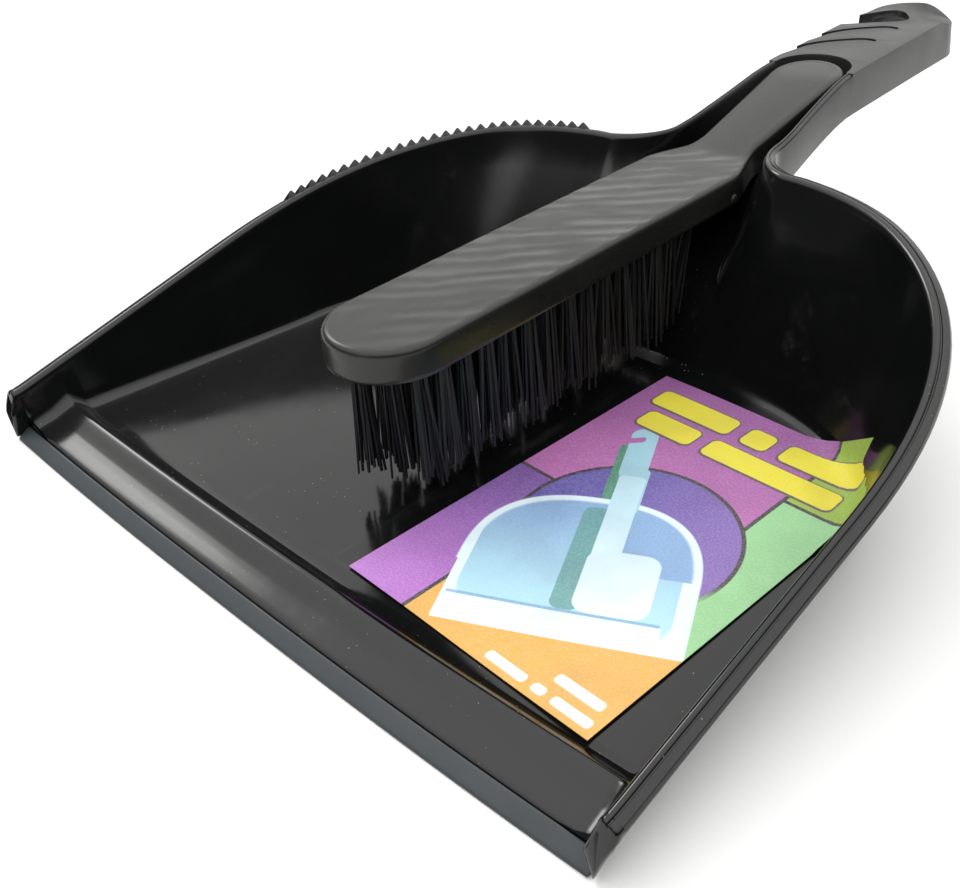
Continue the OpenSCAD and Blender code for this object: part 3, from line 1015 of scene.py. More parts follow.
@dataclass
class DustPan:
    """The tray, its ramp, its flanged rim, the comb and the long handle."""

    lip_w: float = 217.0
    rim_w: float = 226.0
    side_l: float = 80.0
    shoulder_x: float = 15.0
    shoulder_w: float = 98.0
    shoulder_l: float = 102.0
    rim_power: float = 0.885
    floor_l: float = 154.0
    floor_inset: float = 14.6
    floor_t: float = 2.6
    wall_t: float = 2.5
    floor_power: float = 0.816
    rim_front: float = 13.5
    rim_side: float = 33.5
    rim_back: float = 57.0
    bend_h: float = 67.0
    end_h: float = 71.5
    bend_y: float = 238.0
    overall_l: float = 326.0
    neck_x: float = 19.0
    neck_r: float = 18.0
    grip_d: float = 14.0
    channel_d: float = 11.8
    cap_y: float = 242.0
    channel_end: float = 255.0
    bow: float = 2.0
    columns: int = 12
    tooth_pitch: float = 3.92
    tooth_h: float = 1.55
    comb_from: float = 14.0
    comb_to: float = 78.0

    RIM = ((4.9, -2.2), (4.75, -1.3), (4.35, -0.55), (3.75, -0.08), (3.1, 0.0), (2.75, -0.16),
           (2.55, -0.50), (2.3, -0.54), (2.1, -0.28), (1.3, -0.44), (0.45, -0.78), (0.05, -1.4))
    RAMP = ((4.2, 1.9), (4.5, 2.35), (5.0, 2.75), (5.5, 2.95), (11.0, 4.1), (15.7, 6.0), (16.5, 6.2),
            (17.3, 6.0), (21.4, 2.6))
    FRONT_YS = (4.2, 4.5, 5.0, 5.5, 6.5, 8.5, 10.6, 11.4, 13.4, 15.5, 16.0, 16.5, 17.0, 17.6,
                19.3, 21.0, 21.8, 24.0, 28.0, 33.0, 38.0, 44.0, 50.0, 56.0, 62.0, 68.0, 74.0)
    CLIMB_X = ((0.0, 35.6), (0.1, 33.5), (0.25, 27.5), (0.4, 22.0), (0.5, 19.3), (0.6, 17.6),
               (0.75, 15.8), (0.9, 14.9), (1.0, 14.6))
    CLIMB_Y = ((0.0, 150.75), (0.1, 151.9), (0.25, 155.5), (0.4, 160.3), (0.5, 165.0),
               (0.6, 172.3), (0.75, 182.8), (0.9, 193.2), (1.0, 200.0))
    CLIMB_Z = ((0.0, 2.6), (0.1, 4.2), (0.25, 11.0), (0.4, 19.4), (0.5, 24.4), (0.6, 29.4),
               (0.75, 35.3), (0.9, 40.5), (1.0, 43.4))
    HALF_WIDTHS = ((196.0, 19.0), (205.0, 18.3), (215.0, 17.2), (226.0, 16.2), (242.0, 15.2),
                   (290.0, 14.8), (326.0, 14.9))

    EYE = ((-20.0, 283.0), (-14.5, 287.4), (-11.5, 289.5), (-6.7, 293.0), (-4.0, 295.0), (-1.2, 296.8),
           (0.9, 298.4), (2.4, 300.6), (2.8, 302.6), (2.4, 305.0), (1.4, 307.2), (0.0, 309.2), (-1.8, 311.3),
           (-4.0, 312.7), (-6.9, 313.0), (-9.2, 311.8), (-11.5, 308.8), (-13.4, 304.6), (-14.3, 300.8),
           (-20.0, 297.0))
    THIN = ((5.2, 290.0), (4.0, 290.8), (2.0, 290.9), (0.0, 290.3), (-1.7, 289.3), (-4.0, 287.5),
            (-6.6, 285.4), (-9.2, 282.9), (-11.6, 279.8), (-13.4, 276.4), (-14.6, 272.0), (-16.2, 265.0))
    CORNER = ((7.0, 0.15), (4.3, 0.0), (1.2, 0.0), (0.5, 0.12), (0.15, 0.4), (0.0, 0.9))
    thin_w: float = 2.0
    thin_step: float = 15.4
    thin_deep: float = 3.6
    eye_deep: float = 11.0
    cut_over: float = 4.0
    end_r: float = 15.0
    cap_skin: float = 2.2
    cap_edge: float = 0.75
    cap_crease: float = 48.0
    cap_cuts: int = 20
    cap_step: float = 4.0

    def __post_init__(self) -> None:
        """Works out the outline's centres and the lip's place in the frame."""
        self.lip_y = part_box("dust_pan")[1].y - self.overall_l * MM
        self.neck_cx = self.neck_x + self.neck_r
        run = self.neck_cx - self.shoulder_x
        self.neck_cy = self.side_l + math.sqrt((self.shoulder_l + self.neck_r) ** 2 - run ** 2)
        self.neck_a = math.degrees(math.atan2(self.neck_cy - self.side_l, run))
        back = self.side_l + self.shoulder_l
        self.rim_line = ((0.0, self.rim_front), (self.side_l, self.rim_side),
                         (back - 7, self.rim_back), (self.neck_cy, self.rim_back),
                         (self.bend_y, self.bend_h), (self.overall_l, self.end_h))

    def rim_z(self, y: float) -> float:
        """Height of the rim at a distance behind the lip."""
        return eased(self.rim_line, y)

    def half_width(self, y: float) -> float:
        """Half the width of the handle."""
        return eased(self.HALF_WIDTHS, y, 3.0)

    def place(self, x: float, y: float, z: float) -> Vector:
        """A point of the pan in the frame, with the front's forward bow.

        Args:
            x: Distance from the middle in millimetres.
            y: Distance behind the lip.
            z: Height over the floor.

        Returns:
            The point in metres.
        """
        fade = 1 - smooth((y - 22) / 24)
        share = min(abs(x) / (self.lip_w / 2), 1.0)
        y -= self.bow * (1 - share ** 2.5) * fade
        return Vector((x * MM, y * MM + self.lip_y, z * MM))

    def foot_x(self, y: float) -> float:
        """Outer half width of the floor along the straight sides."""
        wide = self.rim_w / 2 - self.floor_inset
        return self.lip_w / 2 + (wide - self.lip_w / 2) * y / (self.side_l * 1.25)

    def foot_round(self, angle: float, inset: float) -> Vector:
        """The floor's rounded back corner.

        Args:
            angle: The angle round the corner in degrees.
            inset: Distance inside the outline.

        Returns:
            The place in millimetres.
        """
        wide, front = self.rim_w / 2 - self.floor_inset, self.side_l * 1.25
        c, s = (max(part, 0.0) ** self.floor_power for part in turned(angle))
        return Vector((self.shoulder_x + (wide - self.shoulder_x - inset) * c,
                       front + (self.floor_l - front - inset) * s))

    def rim_round(self, angle: float, inset: float = 0.0) -> tuple[Vector, Vector]:
        """The rim's rounded shoulder.

        Args:
            angle: The angle round the shoulder in degrees.
            inset: Distance inside the outline.

        Returns:
            The place in millimetres and its outward direction.
        """
        c, s = (max(part, 0.0) for part in turned(angle))
        power = self.rim_power
        edge = Vector((self.shoulder_x + (self.shoulder_w - inset) * c ** power,
                       self.side_l + (self.shoulder_l - inset) * s ** power))
        out = Vector((c ** (2 - power) / self.shoulder_w, s ** (2 - power) / self.shoulder_l))
        return edge, out.normalized()

    def stations(self) -> list[Station]:
        """All half sections from the front edge to the cap of the handle.

        Returns:
            The stations of the sides, the shoulder, the neck and the handle.
        """
        found = []
        for y in self.FRONT_YS:
            floor_y = y + self.side_l * 0.25 * smooth((y - 22) / (self.side_l - 22))
            x = self.foot_x(floor_y)
            z = lookup(self.RAMP, y)
            edge = Vector((self.lip_w / 2 + 4 + 0.5 * min(y / self.side_l, 1.0), y))
            found.append(Station(Vector((x - self.wall_t, floor_y, z)), Vector((x, floor_y, 0)),
                                 edge, Vector((1, 0)), self.rim_z(y)))
        steps = 30
        for i in range(steps + 1):
            a = self.neck_a * i / steps
            edge, out = self.rim_round(a)
            found.append(Station(self.foot_round(a, self.wall_t).to_3d() + Vector((0, 0, self.floor_t)),
                                 self.foot_round(a, 0).to_3d(), edge, out, self.rim_z(edge.y)))
        steps = 16
        for i in range(1, steps + 1):
            s = i / steps
            a = 180 + self.neck_a * (1 - s)
            edge = Vector((self.neck_cx, self.neck_cy)) + turned(a) * self.neck_r
            foot = Vector([eased(climb, s, 0.05) for climb in (self.CLIMB_X, self.CLIMB_Y, self.CLIMB_Z)])
            under = foot + Vector((0.5 + 1.3 * s, 2.4 * (1 - s), -self.floor_t + 0.4 * s))
            found.append(Station(foot, under, edge, -turned(a), self.rim_z(edge.y), 1 - 0.42 * smooth(s),
                                 1.9 + 11.7 * smooth(s * 1.15), 1 - 0.8 * smooth(s), 3.5 - 1.3 * s, 1.0))
        for y in (202.5, 205.5, 209.0, 213.0, 218.0, 223.0, 228.0, 233.0, 237.5, self.cap_y):
            half = self.half_width(y)
            top = self.rim_z(y)
            deep = self.channel_d + 0.2 * smooth((210 - y) / 10)
            under = Vector((half - 0.3, y, top - self.grip_d))
            found.append(Station(Vector((half - 3.1, y, top - deep)), under, Vector((half, y)),
                                 Vector((1, 0)), top, 0.54, self.grip_d - 0.4, 0.15, 2.2))
        return found

    def section(self, s: Station) -> list[Vector]:
        """The points of one half section, from the middle of the floor to the middle below.

        Args:
            s: Where the section's floor, wall and rim run.

        Returns:
            The points in millimetres.
        """
        def rim(u: float, w: float) -> Vector:
            """A point of the rim, u in from its edge and w above it."""
            flat = s.edge - s.out * u * s.rim_share
            return Vector((flat.x, flat.y, s.rim_z + w * (0.5 + 0.5 * s.rim_share)))

        wall_top = rim(*self.RIM[0])
        level = Vector((wall_top.x - s.foot.x, wall_top.y - s.foot.y, 0))
        level = level.normalized() if level.length > 0.3 else s.out.to_3d()
        start = s.foot - level.lerp(Vector((1, 0, 0)), s.aside).normalized() * s.fillet
        up = (wall_top - s.foot).normalized()
        stop = s.foot + up * s.fillet
        points = [Vector((start.x * c / self.columns, start.y, start.z)) for c in range(self.columns)]
        points.append(start)
        for t in (0.25, 0.5, 0.75):
            points.append(start * (1 - t) ** 2 + s.foot * 2 * t * (1 - t) + stop * t * t)
        points.append(stop)
        points += [stop.lerp(wall_top, t) for t in (0.2, 0.4, 0.6, 0.8)]
        points += [rim(u, w) for u, w in self.RIM]
        low = s.rim_z - s.fold
        flat = s.edge - s.out * 0.75 * s.overhang
        deep = s.edge - s.out * 2.45 * s.overhang
        points.append(Vector((s.edge.x, s.edge.y, low)))
        points.append(Vector((flat.x, flat.y, low - 0.4)))
        head = Vector((deep.x, deep.y, low - 0.4))
        points.append(head)
        tuck = s.under - level * 1.6 - (level * 0.6 if s.overhang < 0.5 else Vector())
        heel = s.under.lerp(head, min(1.6 / max((head - s.under).length, 1.6), 0.9))
        points += [head.lerp(heel, t) for t in (0.25, 0.5, 0.75)]
        points.append(heel)
        points.append(s.under.lerp((tuck + heel) / 2, 0.45))
        points.append(tuck)
        rest = self.columns + 6
        points += [Vector((tuck.x * (1 - c / rest), tuck.y, tuck.z)) for c in range(1, rest + 1)]
        return points

    def build_tray(self) -> bpy.types.Object:
        """The tray with its rim, neck and the open part of the channel.

        Returns:
            The finished piece.
        """
        rows = [self.section(station) for station in self.stations()]
        assert len(rows[0]) % 2 == 0, len(rows[0])
        placed = [[self.place(*p) for p in row] for row in rows]
        return half_shell("pan_tray", placed, (0, len(placed) - 1))

    def build_corner(self, side: int) -> bpy.types.Object:
        """The front end of one wall, which stands over the end of the lip.

        Args:
            side: -1 for the left wall, 1 for the right one.

        Returns:
            The finished piece.
        """
        first = self.section(self.stations()[0])
        inner_wall, outer_wall = 4, 8
        start = self.columns + 5
        loop = first[start:start + inner_wall + len(self.RIM) + outer_wall]
        edge = inner_wall + 1 + len(self.RIM)
        head = Vector((self.lip_w / 2 + 4, 0, 11.5))
        toe = Vector((self.lip_w / 2 + 0.3, 0, 0.4))
        rows = []
        for y, inset in self.CORNER:
            front = min(max((5.0 - y) / 4.0, 0.0), 1.0)
            ring = []
            for i, p in enumerate(loop):
                q = Vector(p)
                if i >= edge:
                    share = (i - edge) / (len(loop) - 1 - edge)
                    q = q.lerp(head.lerp(toe, share), front)
                ring.append(Vector((q.x, 0, q.z)))
            middle = sum(ring, Vector()) / len(ring)
            placed = []
            for q in ring:
                away = middle - q
                q = q + away.normalized() * min(inset, away.length)
                lean = 2.4 * smooth((q.z - 8) / 6) * front
                placed.append(self.place(side * q.x, y + lean, q.z))
            rows.append(placed + placed[:1])
        corner, _ = sheet_of(f"pan_corner_{'left' if side < 0 else 'right'}", rows)
        cap_ends(corner)
        return corner

    def build_cap(self) -> bpy.types.Object:
        """The closed end of the handle, with the hanging slot and two thin slots.

        Returns:
            The finished piece.
        """
        ys = [self.cap_y + i * 8 for i in range(9)]
        right = [(self.half_width(y), y) for y in ys]
        end_y = self.overall_l - self.end_r
        bend = [(self.half_width(end_y) * math.cos(a), end_y + self.end_r * math.sin(a))
                for a in (math.radians(6 * i) for i in range(1, 15))]
        half = [p for p in right if p[1] < end_y - 2] + [(self.half_width(end_y), end_y)] + bend
        outline = half + [(0, self.overall_l)] + [(-x, y) for x, y in reversed(half)]
        cap = prism("pan_handle_cap", [(x * MM, y * MM) for x, y in outline], -self.grip_d * MM, 0)
        r = self.half_width(self.cap_y) - 2.45
        centre = self.channel_end - r
        arc = [(r * math.cos(a), centre + r * math.sin(a))
               for a in (math.radians(7.5 * i) for i in range(25))]
        channel = [(r, self.cap_y - 6)] + arc + [(-r, self.cap_y - 6)]
        cut(cap, prism("channel_cutter", [(x * MM, y * MM) for x, y in channel],
                       -self.channel_d * MM, self.cut_over * MM))
        skin, tip = self.cap_skin, end_y + self.end_r - self.cap_skin
        inner = [(self.half_width(y) - skin, y) for y in (258.0, 270.0, 284.0, 298.0, end_y)]
        inner += [((self.half_width(end_y) - skin) * math.cos(a), end_y + (tip - end_y) * math.sin(a))
                  for a in (math.radians(9 * i) for i in range(1, 10))]
        hollow = inner + [(0, tip)] + [(-x, y) for x, y in reversed(inner)]
        cut(cap, prism("hollow_cutter", [(x * MM, y * MM) for x, y in hollow], -20 * MM, -skin * MM))
        cut(cap, self.eye_cutter())
        for i in (0, 1):
            cut(cap, self.thin_cutter(i))
        self.round_edges(cap)
        return cap

    def eye_cutter(self) -> bpy.types.Object:
        """The cutter of the lens-shaped hanging slot, open on the left edge."""
        return prism("eye_cutter", [(x * MM, y * MM) for x, y in self.EYE],
                     -self.eye_deep * MM, self.cut_over * MM)

    def thin_cutter(self, i: int) -> bpy.types.Object:
        """The cutter of one of the two thin, curved slots.

        Args:
            i: 0 for the slot nearer the end, 1 for the other.

        Returns:
            The cutter.
        """
        line = [Vector((x, y - self.thin_step * i)) for x, y in self.THIN]
        sides: tuple[list, list] = ([], [])
        for k, p in enumerate(line):
            run = (line[min(k + 1, len(line) - 1)] - line[max(k - 1, 0)]).normalized()
            across = Vector((-run.y, run.x)) * (self.thin_w / 2 if k else self.thin_w / 4)
            sides[0].append(p + across)
            sides[1].append(p - across)
        outline = sides[0][::-1] + sides[1]
        return prism("thin_cutter", [tuple(p * MM) for p in outline],
                     -self.thin_deep * MM, self.cut_over * MM)

    def round_edges(self, cap: bpy.types.Object) -> None:
        """Rounds the cap's edges, then bends it to the slope of the handle.

        Args:
            cap: The closed end of the handle, still level.
        """
        take(cap)
        bpy.ops.object.mode_set(mode="EDIT")
        mesh = bmesh.from_edit_mesh(cap.data)
        bmesh.ops.remove_doubles(mesh, verts=mesh.verts, dist=MERGE)
        front = self.cap_y * MM + 1e-5
        for edge in mesh.edges:
            sharp = len(edge.link_faces) == 2 and edge.calc_face_angle() > math.radians(self.cap_crease)
            edge.select_set(sharp and max(v.co.y for v in edge.verts) > front)
        bmesh.update_edit_mesh(cap.data)
        bpy.ops.mesh.bevel(offset=self.cap_edge * MM, segments=3, affect="EDGES", clamp_overlap=True)
        for i in range(1, self.cap_cuts + 1):
            bpy.ops.mesh.select_all(action="SELECT")
            bpy.ops.mesh.bisect(plane_co=(0, (self.cap_y + self.cap_step * i) * MM, 0), plane_no=(0, 1, 0))
        bpy.ops.object.mode_set(mode="OBJECT")
        for vertex in cap.data.vertices:
            x, y = vertex.co.x / MM, vertex.co.y / MM
            height = vertex.co.z / MM + self.grip_d
            out = smooth((x + 3) / 15) * smooth((y - 303) / 15)
            near = smooth((y - 296) / 14)
            vertex.co.x *= 1 - 0.0035 * height * near
            vertex.co.y -= 0.09 * height * near * MM
            drop = (3.4 * out + 0.5 * near) * smooth((height - 4) / 8)
            vertex.co.z += (self.rim_z(y) - drop) * MM
            vertex.co.y += self.lip_y
        close_up(cap, 40.0, 1e-6)

    def build_comb(self) -> bpy.types.Object:
        """The row of small pyramids along the left shoulder.

        Returns:
            The finished piece.
        """
        teeth, angle = [], self.comb_from
        while angle < self.comb_to:
            place, out = self.rim_round(angle, 1.7)
            ahead, _ = self.rim_round(angle + 0.5, 1.7)
            normal = math.degrees(math.atan2(out.y, out.x))
            deselect()
            bpy.ops.mesh.primitive_cone_add(vertices=4, radius1=1, radius2=0.10, depth=1,
                                            end_fill_type="NGON")
            tooth = started("tooth")
            for vertex in tooth.data.vertices:
                a, b = turned(45) @ vertex.co.xy, turned(135) @ vertex.co.xy
                along, across = a * self.tooth_pitch * 0.95, b * 2.3
                top = vertex.co.z > 0
                flat = turned(180 - normal) * (across + (0.3 if top else 0)) + turned(90 - normal) * along
                z = self.rim_z(place.y) + (self.tooth_h if top else -1.4)
                vertex.co = Vector((-place.x + flat.x, place.y + flat.y, z)) * MM + Vector((0, self.lip_y, 0))
            teeth.append(tooth)
            angle += 0.5 * self.tooth_pitch / (ahead - place).length
        comb = joined("pan_comb_teeth", teeth)
        apply_modifier(comb, "BEVEL", width=0.12 * MM, segments=2)
        close_up(comb, 30.0)
        return comb

    def build(self) -> None:
        """Builds and dresses every piece of the pan."""
        finish = MouldedPlastic("pan_plastic", srgb(14, 15, 15), gloss=0.11, gloss_spread=0.06,
                                waves=0.22, grain=0.012, dust=0.9, scuff=0.2,
                                grip_y=(self.lip_y + 0.196, self.lip_y + 0.226)).material()
        set_down(self.build_tray(), Body.PAN, Slot.PAN, finish, "dust_pan")
        set_down(self.build_cap(), Body.PAN, Slot.PAN, finish, "dust_pan")
        set_down(self.build_comb(), Body.PAN, Slot.PAN, finish, "dust_pan")
        for side in (-1, 1):
            set_down(self.build_corner(side), Body.PAN, Slot.PAN, finish, "dust_pan")


@dataclass
class LipStrip:
    """The soft strip along the front edge of the pan."""

    pan: DustPan
    end_gap: float = 1.0
    steps: int = 56
    PROFILE = ((4.12, 0.05), (4.12, 2.55), (3.95, 2.86), (3.7, 2.92), (3.45, 2.8), (2.4, 2.2),
               (1.2, 1.45), (0.45, 0.98), (0.12, 0.7), (0.0, 0.4), (0.08, 0.12), (0.3, 0.0), (2.2, 0.0))

    def build(self) -> None:
        """Sweeps the profile across the front and closes its ends."""
        half = self.pan.lip_w / 2 - self.end_gap
        rows = []
        for i in range(self.steps + 1):
            x = -half + 2 * half * i / self.steps
            rows.append([self.pan.place(x, y, z) for y, z in self.PROFILE + self.PROFILE[:1]])
        for row, shift in ((rows[0], 1), (rows[-1], -1)):
            middle = sum(row[:-1], Vector()) / (len(row) - 1)
            rows.insert(rows.index(row) + (0 if shift > 0 else 1),
                        [middle.lerp(p, 0.92) - Vector((shift * 0.15 * MM, 0, 0)) for p in row])
        strip, _ = sheet_of("lip_strip", rows)
        cap_ends(strip)
        set_down(strip, Body.PAN, Slot.LIP, SoftStrip().material(), "rubber_lip")


@dataclass
class PaperLabel:
    """The printed paper on the tray's floor, with one corner curled up the wall."""

    pan: DustPan
    width: float = 76.0
    length: float = 118.0
    left: float = 14.0
    turn: float = -2.5
    thickness: float = 0.16
    bend_r: float = 6.0
    bend_max: float = 76.0
    bend_right: float = 99.2
    bend_back: float = 51.0
    clear: float = 0.35
    steps_long: int = 48
    steps_wide: int = 32

    def wall_lift(self, x: float, y: float) -> float:
        """How far the tray's wall has risen above its floor at a place.

        Args:
            x: Distance from the middle of the pan.
            y: Distance behind the lip.

        Returns:
            The height in millimetres.
        """
        pan, power = self.pan, 2 / self.pan.floor_power
        front = pan.side_l * 1.25
        if y <= front:
            past = x - (pan.foot_x(y) - pan.wall_t)
        else:
            wide = pan.rim_w / 2 - pan.floor_inset - pan.wall_t - pan.shoulder_x
            deep = pan.floor_l - pan.wall_t - front
            share = (max(x - pan.shoulder_x, 0) / wide) ** power + ((y - front) / deep) ** power
            past = (share ** (1 / power) - 1) * (wide + deep) / 2
        rise = max(past + 3.5, 0.0)
        return 0.04 * rise ** 3 if rise < 4.9 else 4.7 + 3.6 * (rise - 4.9)

    def build(self) -> None:
        """Builds the sheet, curls its corner and gives it thickness."""
        low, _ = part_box("label")
        front = low.y / MM + self.width * math.sin(math.radians(-self.turn))
        fold = Vector((self.length - self.bend_right, self.width - self.bend_back)).normalized()
        along, across = turned(self.turn), turned(self.turn + 90)
        rows = []
        for i in range(self.steps_long + 1):
            v = self.length * i / self.steps_long
            row = []
            for j in range(self.steps_wide + 1):
                u = self.width * j / self.steps_wide
                d = (u - self.width) * fold.x + (v - self.bend_right) * fold.y
                d = max(d + 2.0, 0.0)
                angle = min(d / self.bend_r, math.radians(self.bend_max))
                rest = d - angle * self.bend_r
                level = self.bend_r * math.sin(angle) + rest * math.cos(angle)
                lift = self.bend_r * (1 - math.cos(angle)) + rest * math.sin(angle)
                uu, vv = u - fold.x * (d - level), v - fold.y * (d - level)
                wave = 0.18 * math.sin(u / 11) * math.sin(v / 17 + 1) + 0.18
                x = self.left + along.x * uu + across.x * vv
                y = front + along.y * uu + across.y * vv
                wall = self.wall_lift(x, y - self.pan.lip_y / MM)
                lift = max(lift, wall + self.clear if wall > 0.02 else 0.0)
                row.append(Vector((x * MM, y * MM, low.z + (wave + lift) * MM)))
            rows.append(row)
        sheet, _ = sheet_of("paper_label", rows)
        apply_modifier(sheet, "SOLIDIFY", thickness=self.thickness * MM, offset=1.0)
        take(sheet)
        bpy.ops.object.shade_smooth_by_angle(angle=math.radians(35))
        set_down(sheet, Body.PAN, Slot.LABEL, PrintedPaper(self.width, self.length).material(), "label")


# The brush -------------------------------------------------------------------


@dataclass(frozen=True)
class Tuft:
    """A tuft of bristles: its place, its lean, its widest splay and how far past the last one it is."""

    y: float
    lean: Vector
    limit: float
    spare: int = 0


@dataclass
class HandBrush:
    """The brush block with its handle, side nubs, bristles and hidden anchors."""

    pan_l: float = 326.0
    tip_from_lip: float = 40.0
    block_w: float = 32.7
    block_l: float = 153.0
    block_t: float = 8.4
    brush_l: float = 212.0
    handle_w0: float = 20.0
    handle_w1: float = 24.0
    handle_t: float = 8.5
    tilt: float = 1.0
    bristle_l: float = 32.0
    tuft_r: float = 1.75
    tuft_pitch: float = 7.6
    row_edge: float = 5.2
    strands: int = 21
    strand_r: float = 0.5
    columns: int = 16
    spare_tufts: int = 2
    spare_short: float = 3.0
    spare_lean: float = 3.6
    ripple_h: float = 0.10

    EDGE = ((3.2, 0.0, 0.0), (2.5, 0.0, 0.10), (1.8, 0.0, 0.12), (1.1, 0.0, -0.02), (0.5, 0.0, -0.42),
            (0.12, 0.0, -1.0), (0.0, 0.0, -1.8), (-0.12, 0.5, 0.0), (-0.28, 1.0, 1.3), (-0.32, 1.0, 0.55),
            (-0.15, 1.0, 0.1), (0.5, 1.0, 0.0))

    def __post_init__(self) -> None:
        """Works out the brush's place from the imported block."""
        self.tip_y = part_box("dust_pan")[1].y - self.pan_l * MM + self.tip_from_lip * MM
        self.top_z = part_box("brush_body")[0].z + self.block_t * MM * math.cos(math.radians(self.tilt))
        self.handle_line = ((self.block_l - 13, 0.0), (self.block_l, 0.0), (self.block_l + 47, 11.2),
                            (self.brush_l + 6, 12.6))

    def place(self, x: float, y: float, z: float) -> Vector:
        """A point of the brush, drawn flat from its tip, in the frame.

        Args:
            x: Distance from the middle in millimetres.
            y: Distance behind the tip.
            z: Height over the block's top.

        Returns:
            The point in metres.
        """
        a = math.radians(self.tilt)
        return Vector((x * MM, self.tip_y + (y * math.cos(a) - z * math.sin(a)) * MM,
                       self.top_z + (y * math.sin(a) + z * math.cos(a)) * MM))

    def outline(self) -> list[tuple[Vector, Vector]]:
        """The right half of the outline, from the tip to the end of the handle.

        Returns:
            Places in millimetres with their outward directions.
        """
        r = self.block_w / 2
        points = [Vector((r * math.cos(a), r + r * math.sin(a)))
                  for a in (math.radians(-90 + 5 * i) for i in range(19))]
        y = r
        while y < self.block_l - 18:
            y += 1.8
            points.append(Vector((r, y)))
        start = points[-1].y
        for i in range(1, 13):
            s = i / 12
            x = r + (self.handle_w0 / 2 - r) * smooth(s)
            points.append(Vector((x, start + (self.block_l + 5 - start) * s)))
        r_end = self.handle_w1 / 2
        y = points[-1].y
        flat_end = self.brush_l - r_end
        steps = 14
        for i in range(1, steps + 1):
            s = i / steps
            points.append(Vector((self.handle_w0 / 2 + (r_end - self.handle_w0 / 2) * s,
                                  y + (flat_end - y) * s)))
        points += [Vector((r_end * math.cos(a), flat_end + r_end * math.sin(a)))
                   for a in (math.radians(6 * i) for i in range(1, 16))]
        found = []
        for i, p in enumerate(points):
            before = points[max(i - 1, 0)]
            after = points[min(i + 1, len(points) - 1)]
            run = after - before
            out = Vector((run.y, -run.x)).normalized()
            if i == 0:
                out = Vector((0, -1))
            if i == len(points) - 1:
                out = Vector((0, 1))
            found.append((p, out))
        return found

    def top(self, x: float, y: float) -> float:
        """Height of the upper side: the rippled block, the curved crease and the handle.

        Args:
            x: Distance from the middle in millimetres.
            y: Distance behind the tip.

        Returns:
            The height in millimetres.
        """
        crease = self.block_l - 1.5 - 3.0 * (1 - min(abs(x) / 10, 1) ** 2)
        if y > crease:
            return eased(self.handle_line, y - crease + self.block_l, 2.5)
        edge = smooth((self.block_w / 2 - 2.5 - abs(x)) / 4)
        edge *= smooth((y - 4) / 8)
        edge *= smooth((crease - 4 - y) / 10)
        wander = 0.8 * math.sin(x * 0.23 + y * 0.19) + 0.6 * math.sin(x * 0.11 - y * 0.08)
        ripple = (math.sin(y * 0.56 - x * 0.50 + wander) * (0.6 + 0.4 * math.sin(x * 0.36 + y * 0.33))
                  + 0.3 * math.sin(y * 0.95 - x * 0.72 + 1.7 * wander))
        return eased(self.handle_line, y - crease + self.block_l, 2.5) + self.ripple_h * edge * ripple

    def bottom(self, y: float) -> float:
        """Height of the lower side."""
        share = smooth((y - self.block_l + 10) / 14)
        return -self.block_t * (1 - share) + (eased(self.handle_line, y) - self.handle_t) * share

    def build_block(self) -> bpy.types.Object:
        """The block and the handle as one shell.

        Returns:
            The finished piece.
        """
        rows = []
        for p, out in self.outline():
            inner = p - out * self.EDGE[0][0]
            inner.x = max(inner.x, 0.0)
            row = [Vector((inner.x * c / self.columns, inner.y)) for c in range(self.columns)]
            row = [self.place(q.x, q.y, self.top(q.x, q.y)) for q in row]
            for inset, share, dz in self.EDGE:
                q = p - out * inset
                q.x = max(q.x, 0.0)
                z = self.top(q.x, q.y) * (1 - share) + self.bottom(q.y) * share + dz
                row.append(self.place(q.x, q.y, z))
            last = p - out * self.EDGE[-1][0]
            last.x = max(last.x, 0.0)
            for c in range(1, self.columns + 1):
                x = last.x * (1 - c / self.columns)
                row.append(self.place(x, last.y, self.bottom(last.y)))
            rows.append(row)
        return half_shell("brush_block", rows, ())

    def build_nub(self, side: int) -> bpy.types.Object:
        """A small moulded nub on the side of the block.

        Args:
            side: -1 for the left side, 1 for the right one.

        Returns:
            The finished piece.
        """
        deselect()
        bpy.ops.mesh.primitive_uv_sphere_add(segments=20, ring_count=12, radius=1.6 * MM)
        nub = started(f"brush_nub_{'left' if side < 0 else 'right'}")
        centre = self.place(side * (self.block_w / 2 - 0.3), self.block_l - 17, -self.block_t + 1.7)
        for vertex in nub.data.vertices:
            vertex.co = Vector((vertex.co.x * 0.8, vertex.co.y * 1.15, vertex.co.z)) + centre
        close_up(nub, 60.0)
        return nub

    def tuft_ys(self, row: int) -> list[float]:
        """Where the tufts of a row stand.

        Args:
            row: Number of the row, from 1 at the left.

        Returns:
            Distances behind the tip in millimetres, the spare tufts last.
        """
        y = 8.0 + (6.0 if abs(row - 2.5) > 1 else 0.0) + (0.0 if row % 2 == 0 else self.tuft_pitch / 2)
        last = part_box(f"tufts_row_{row}")[1].y / MM - self.tip_y / MM - 1.0
        found = []
        while y < last:
            found.append(y)
            y += self.tuft_pitch
        return found + [y + self.tuft_pitch * i for i in range(self.spare_tufts)]

    @staticmethod
    def strand_model() -> tuple[list[Vector], list[tuple[int, ...]]]:
        """A unit strand with four sides.

        Returns:
            Its points and its faces.
        """
        deselect()
        bpy.ops.mesh.primitive_cylinder_add(vertices=4, radius=1, depth=1, end_fill_type="NGON")
        model = started("strand")
        shape = [v.co.copy() for v in model.data.vertices]
        faces = [tuple(f.vertices) for f in model.data.polygons]
        bpy.data.objects.remove(model)
        return shape, faces

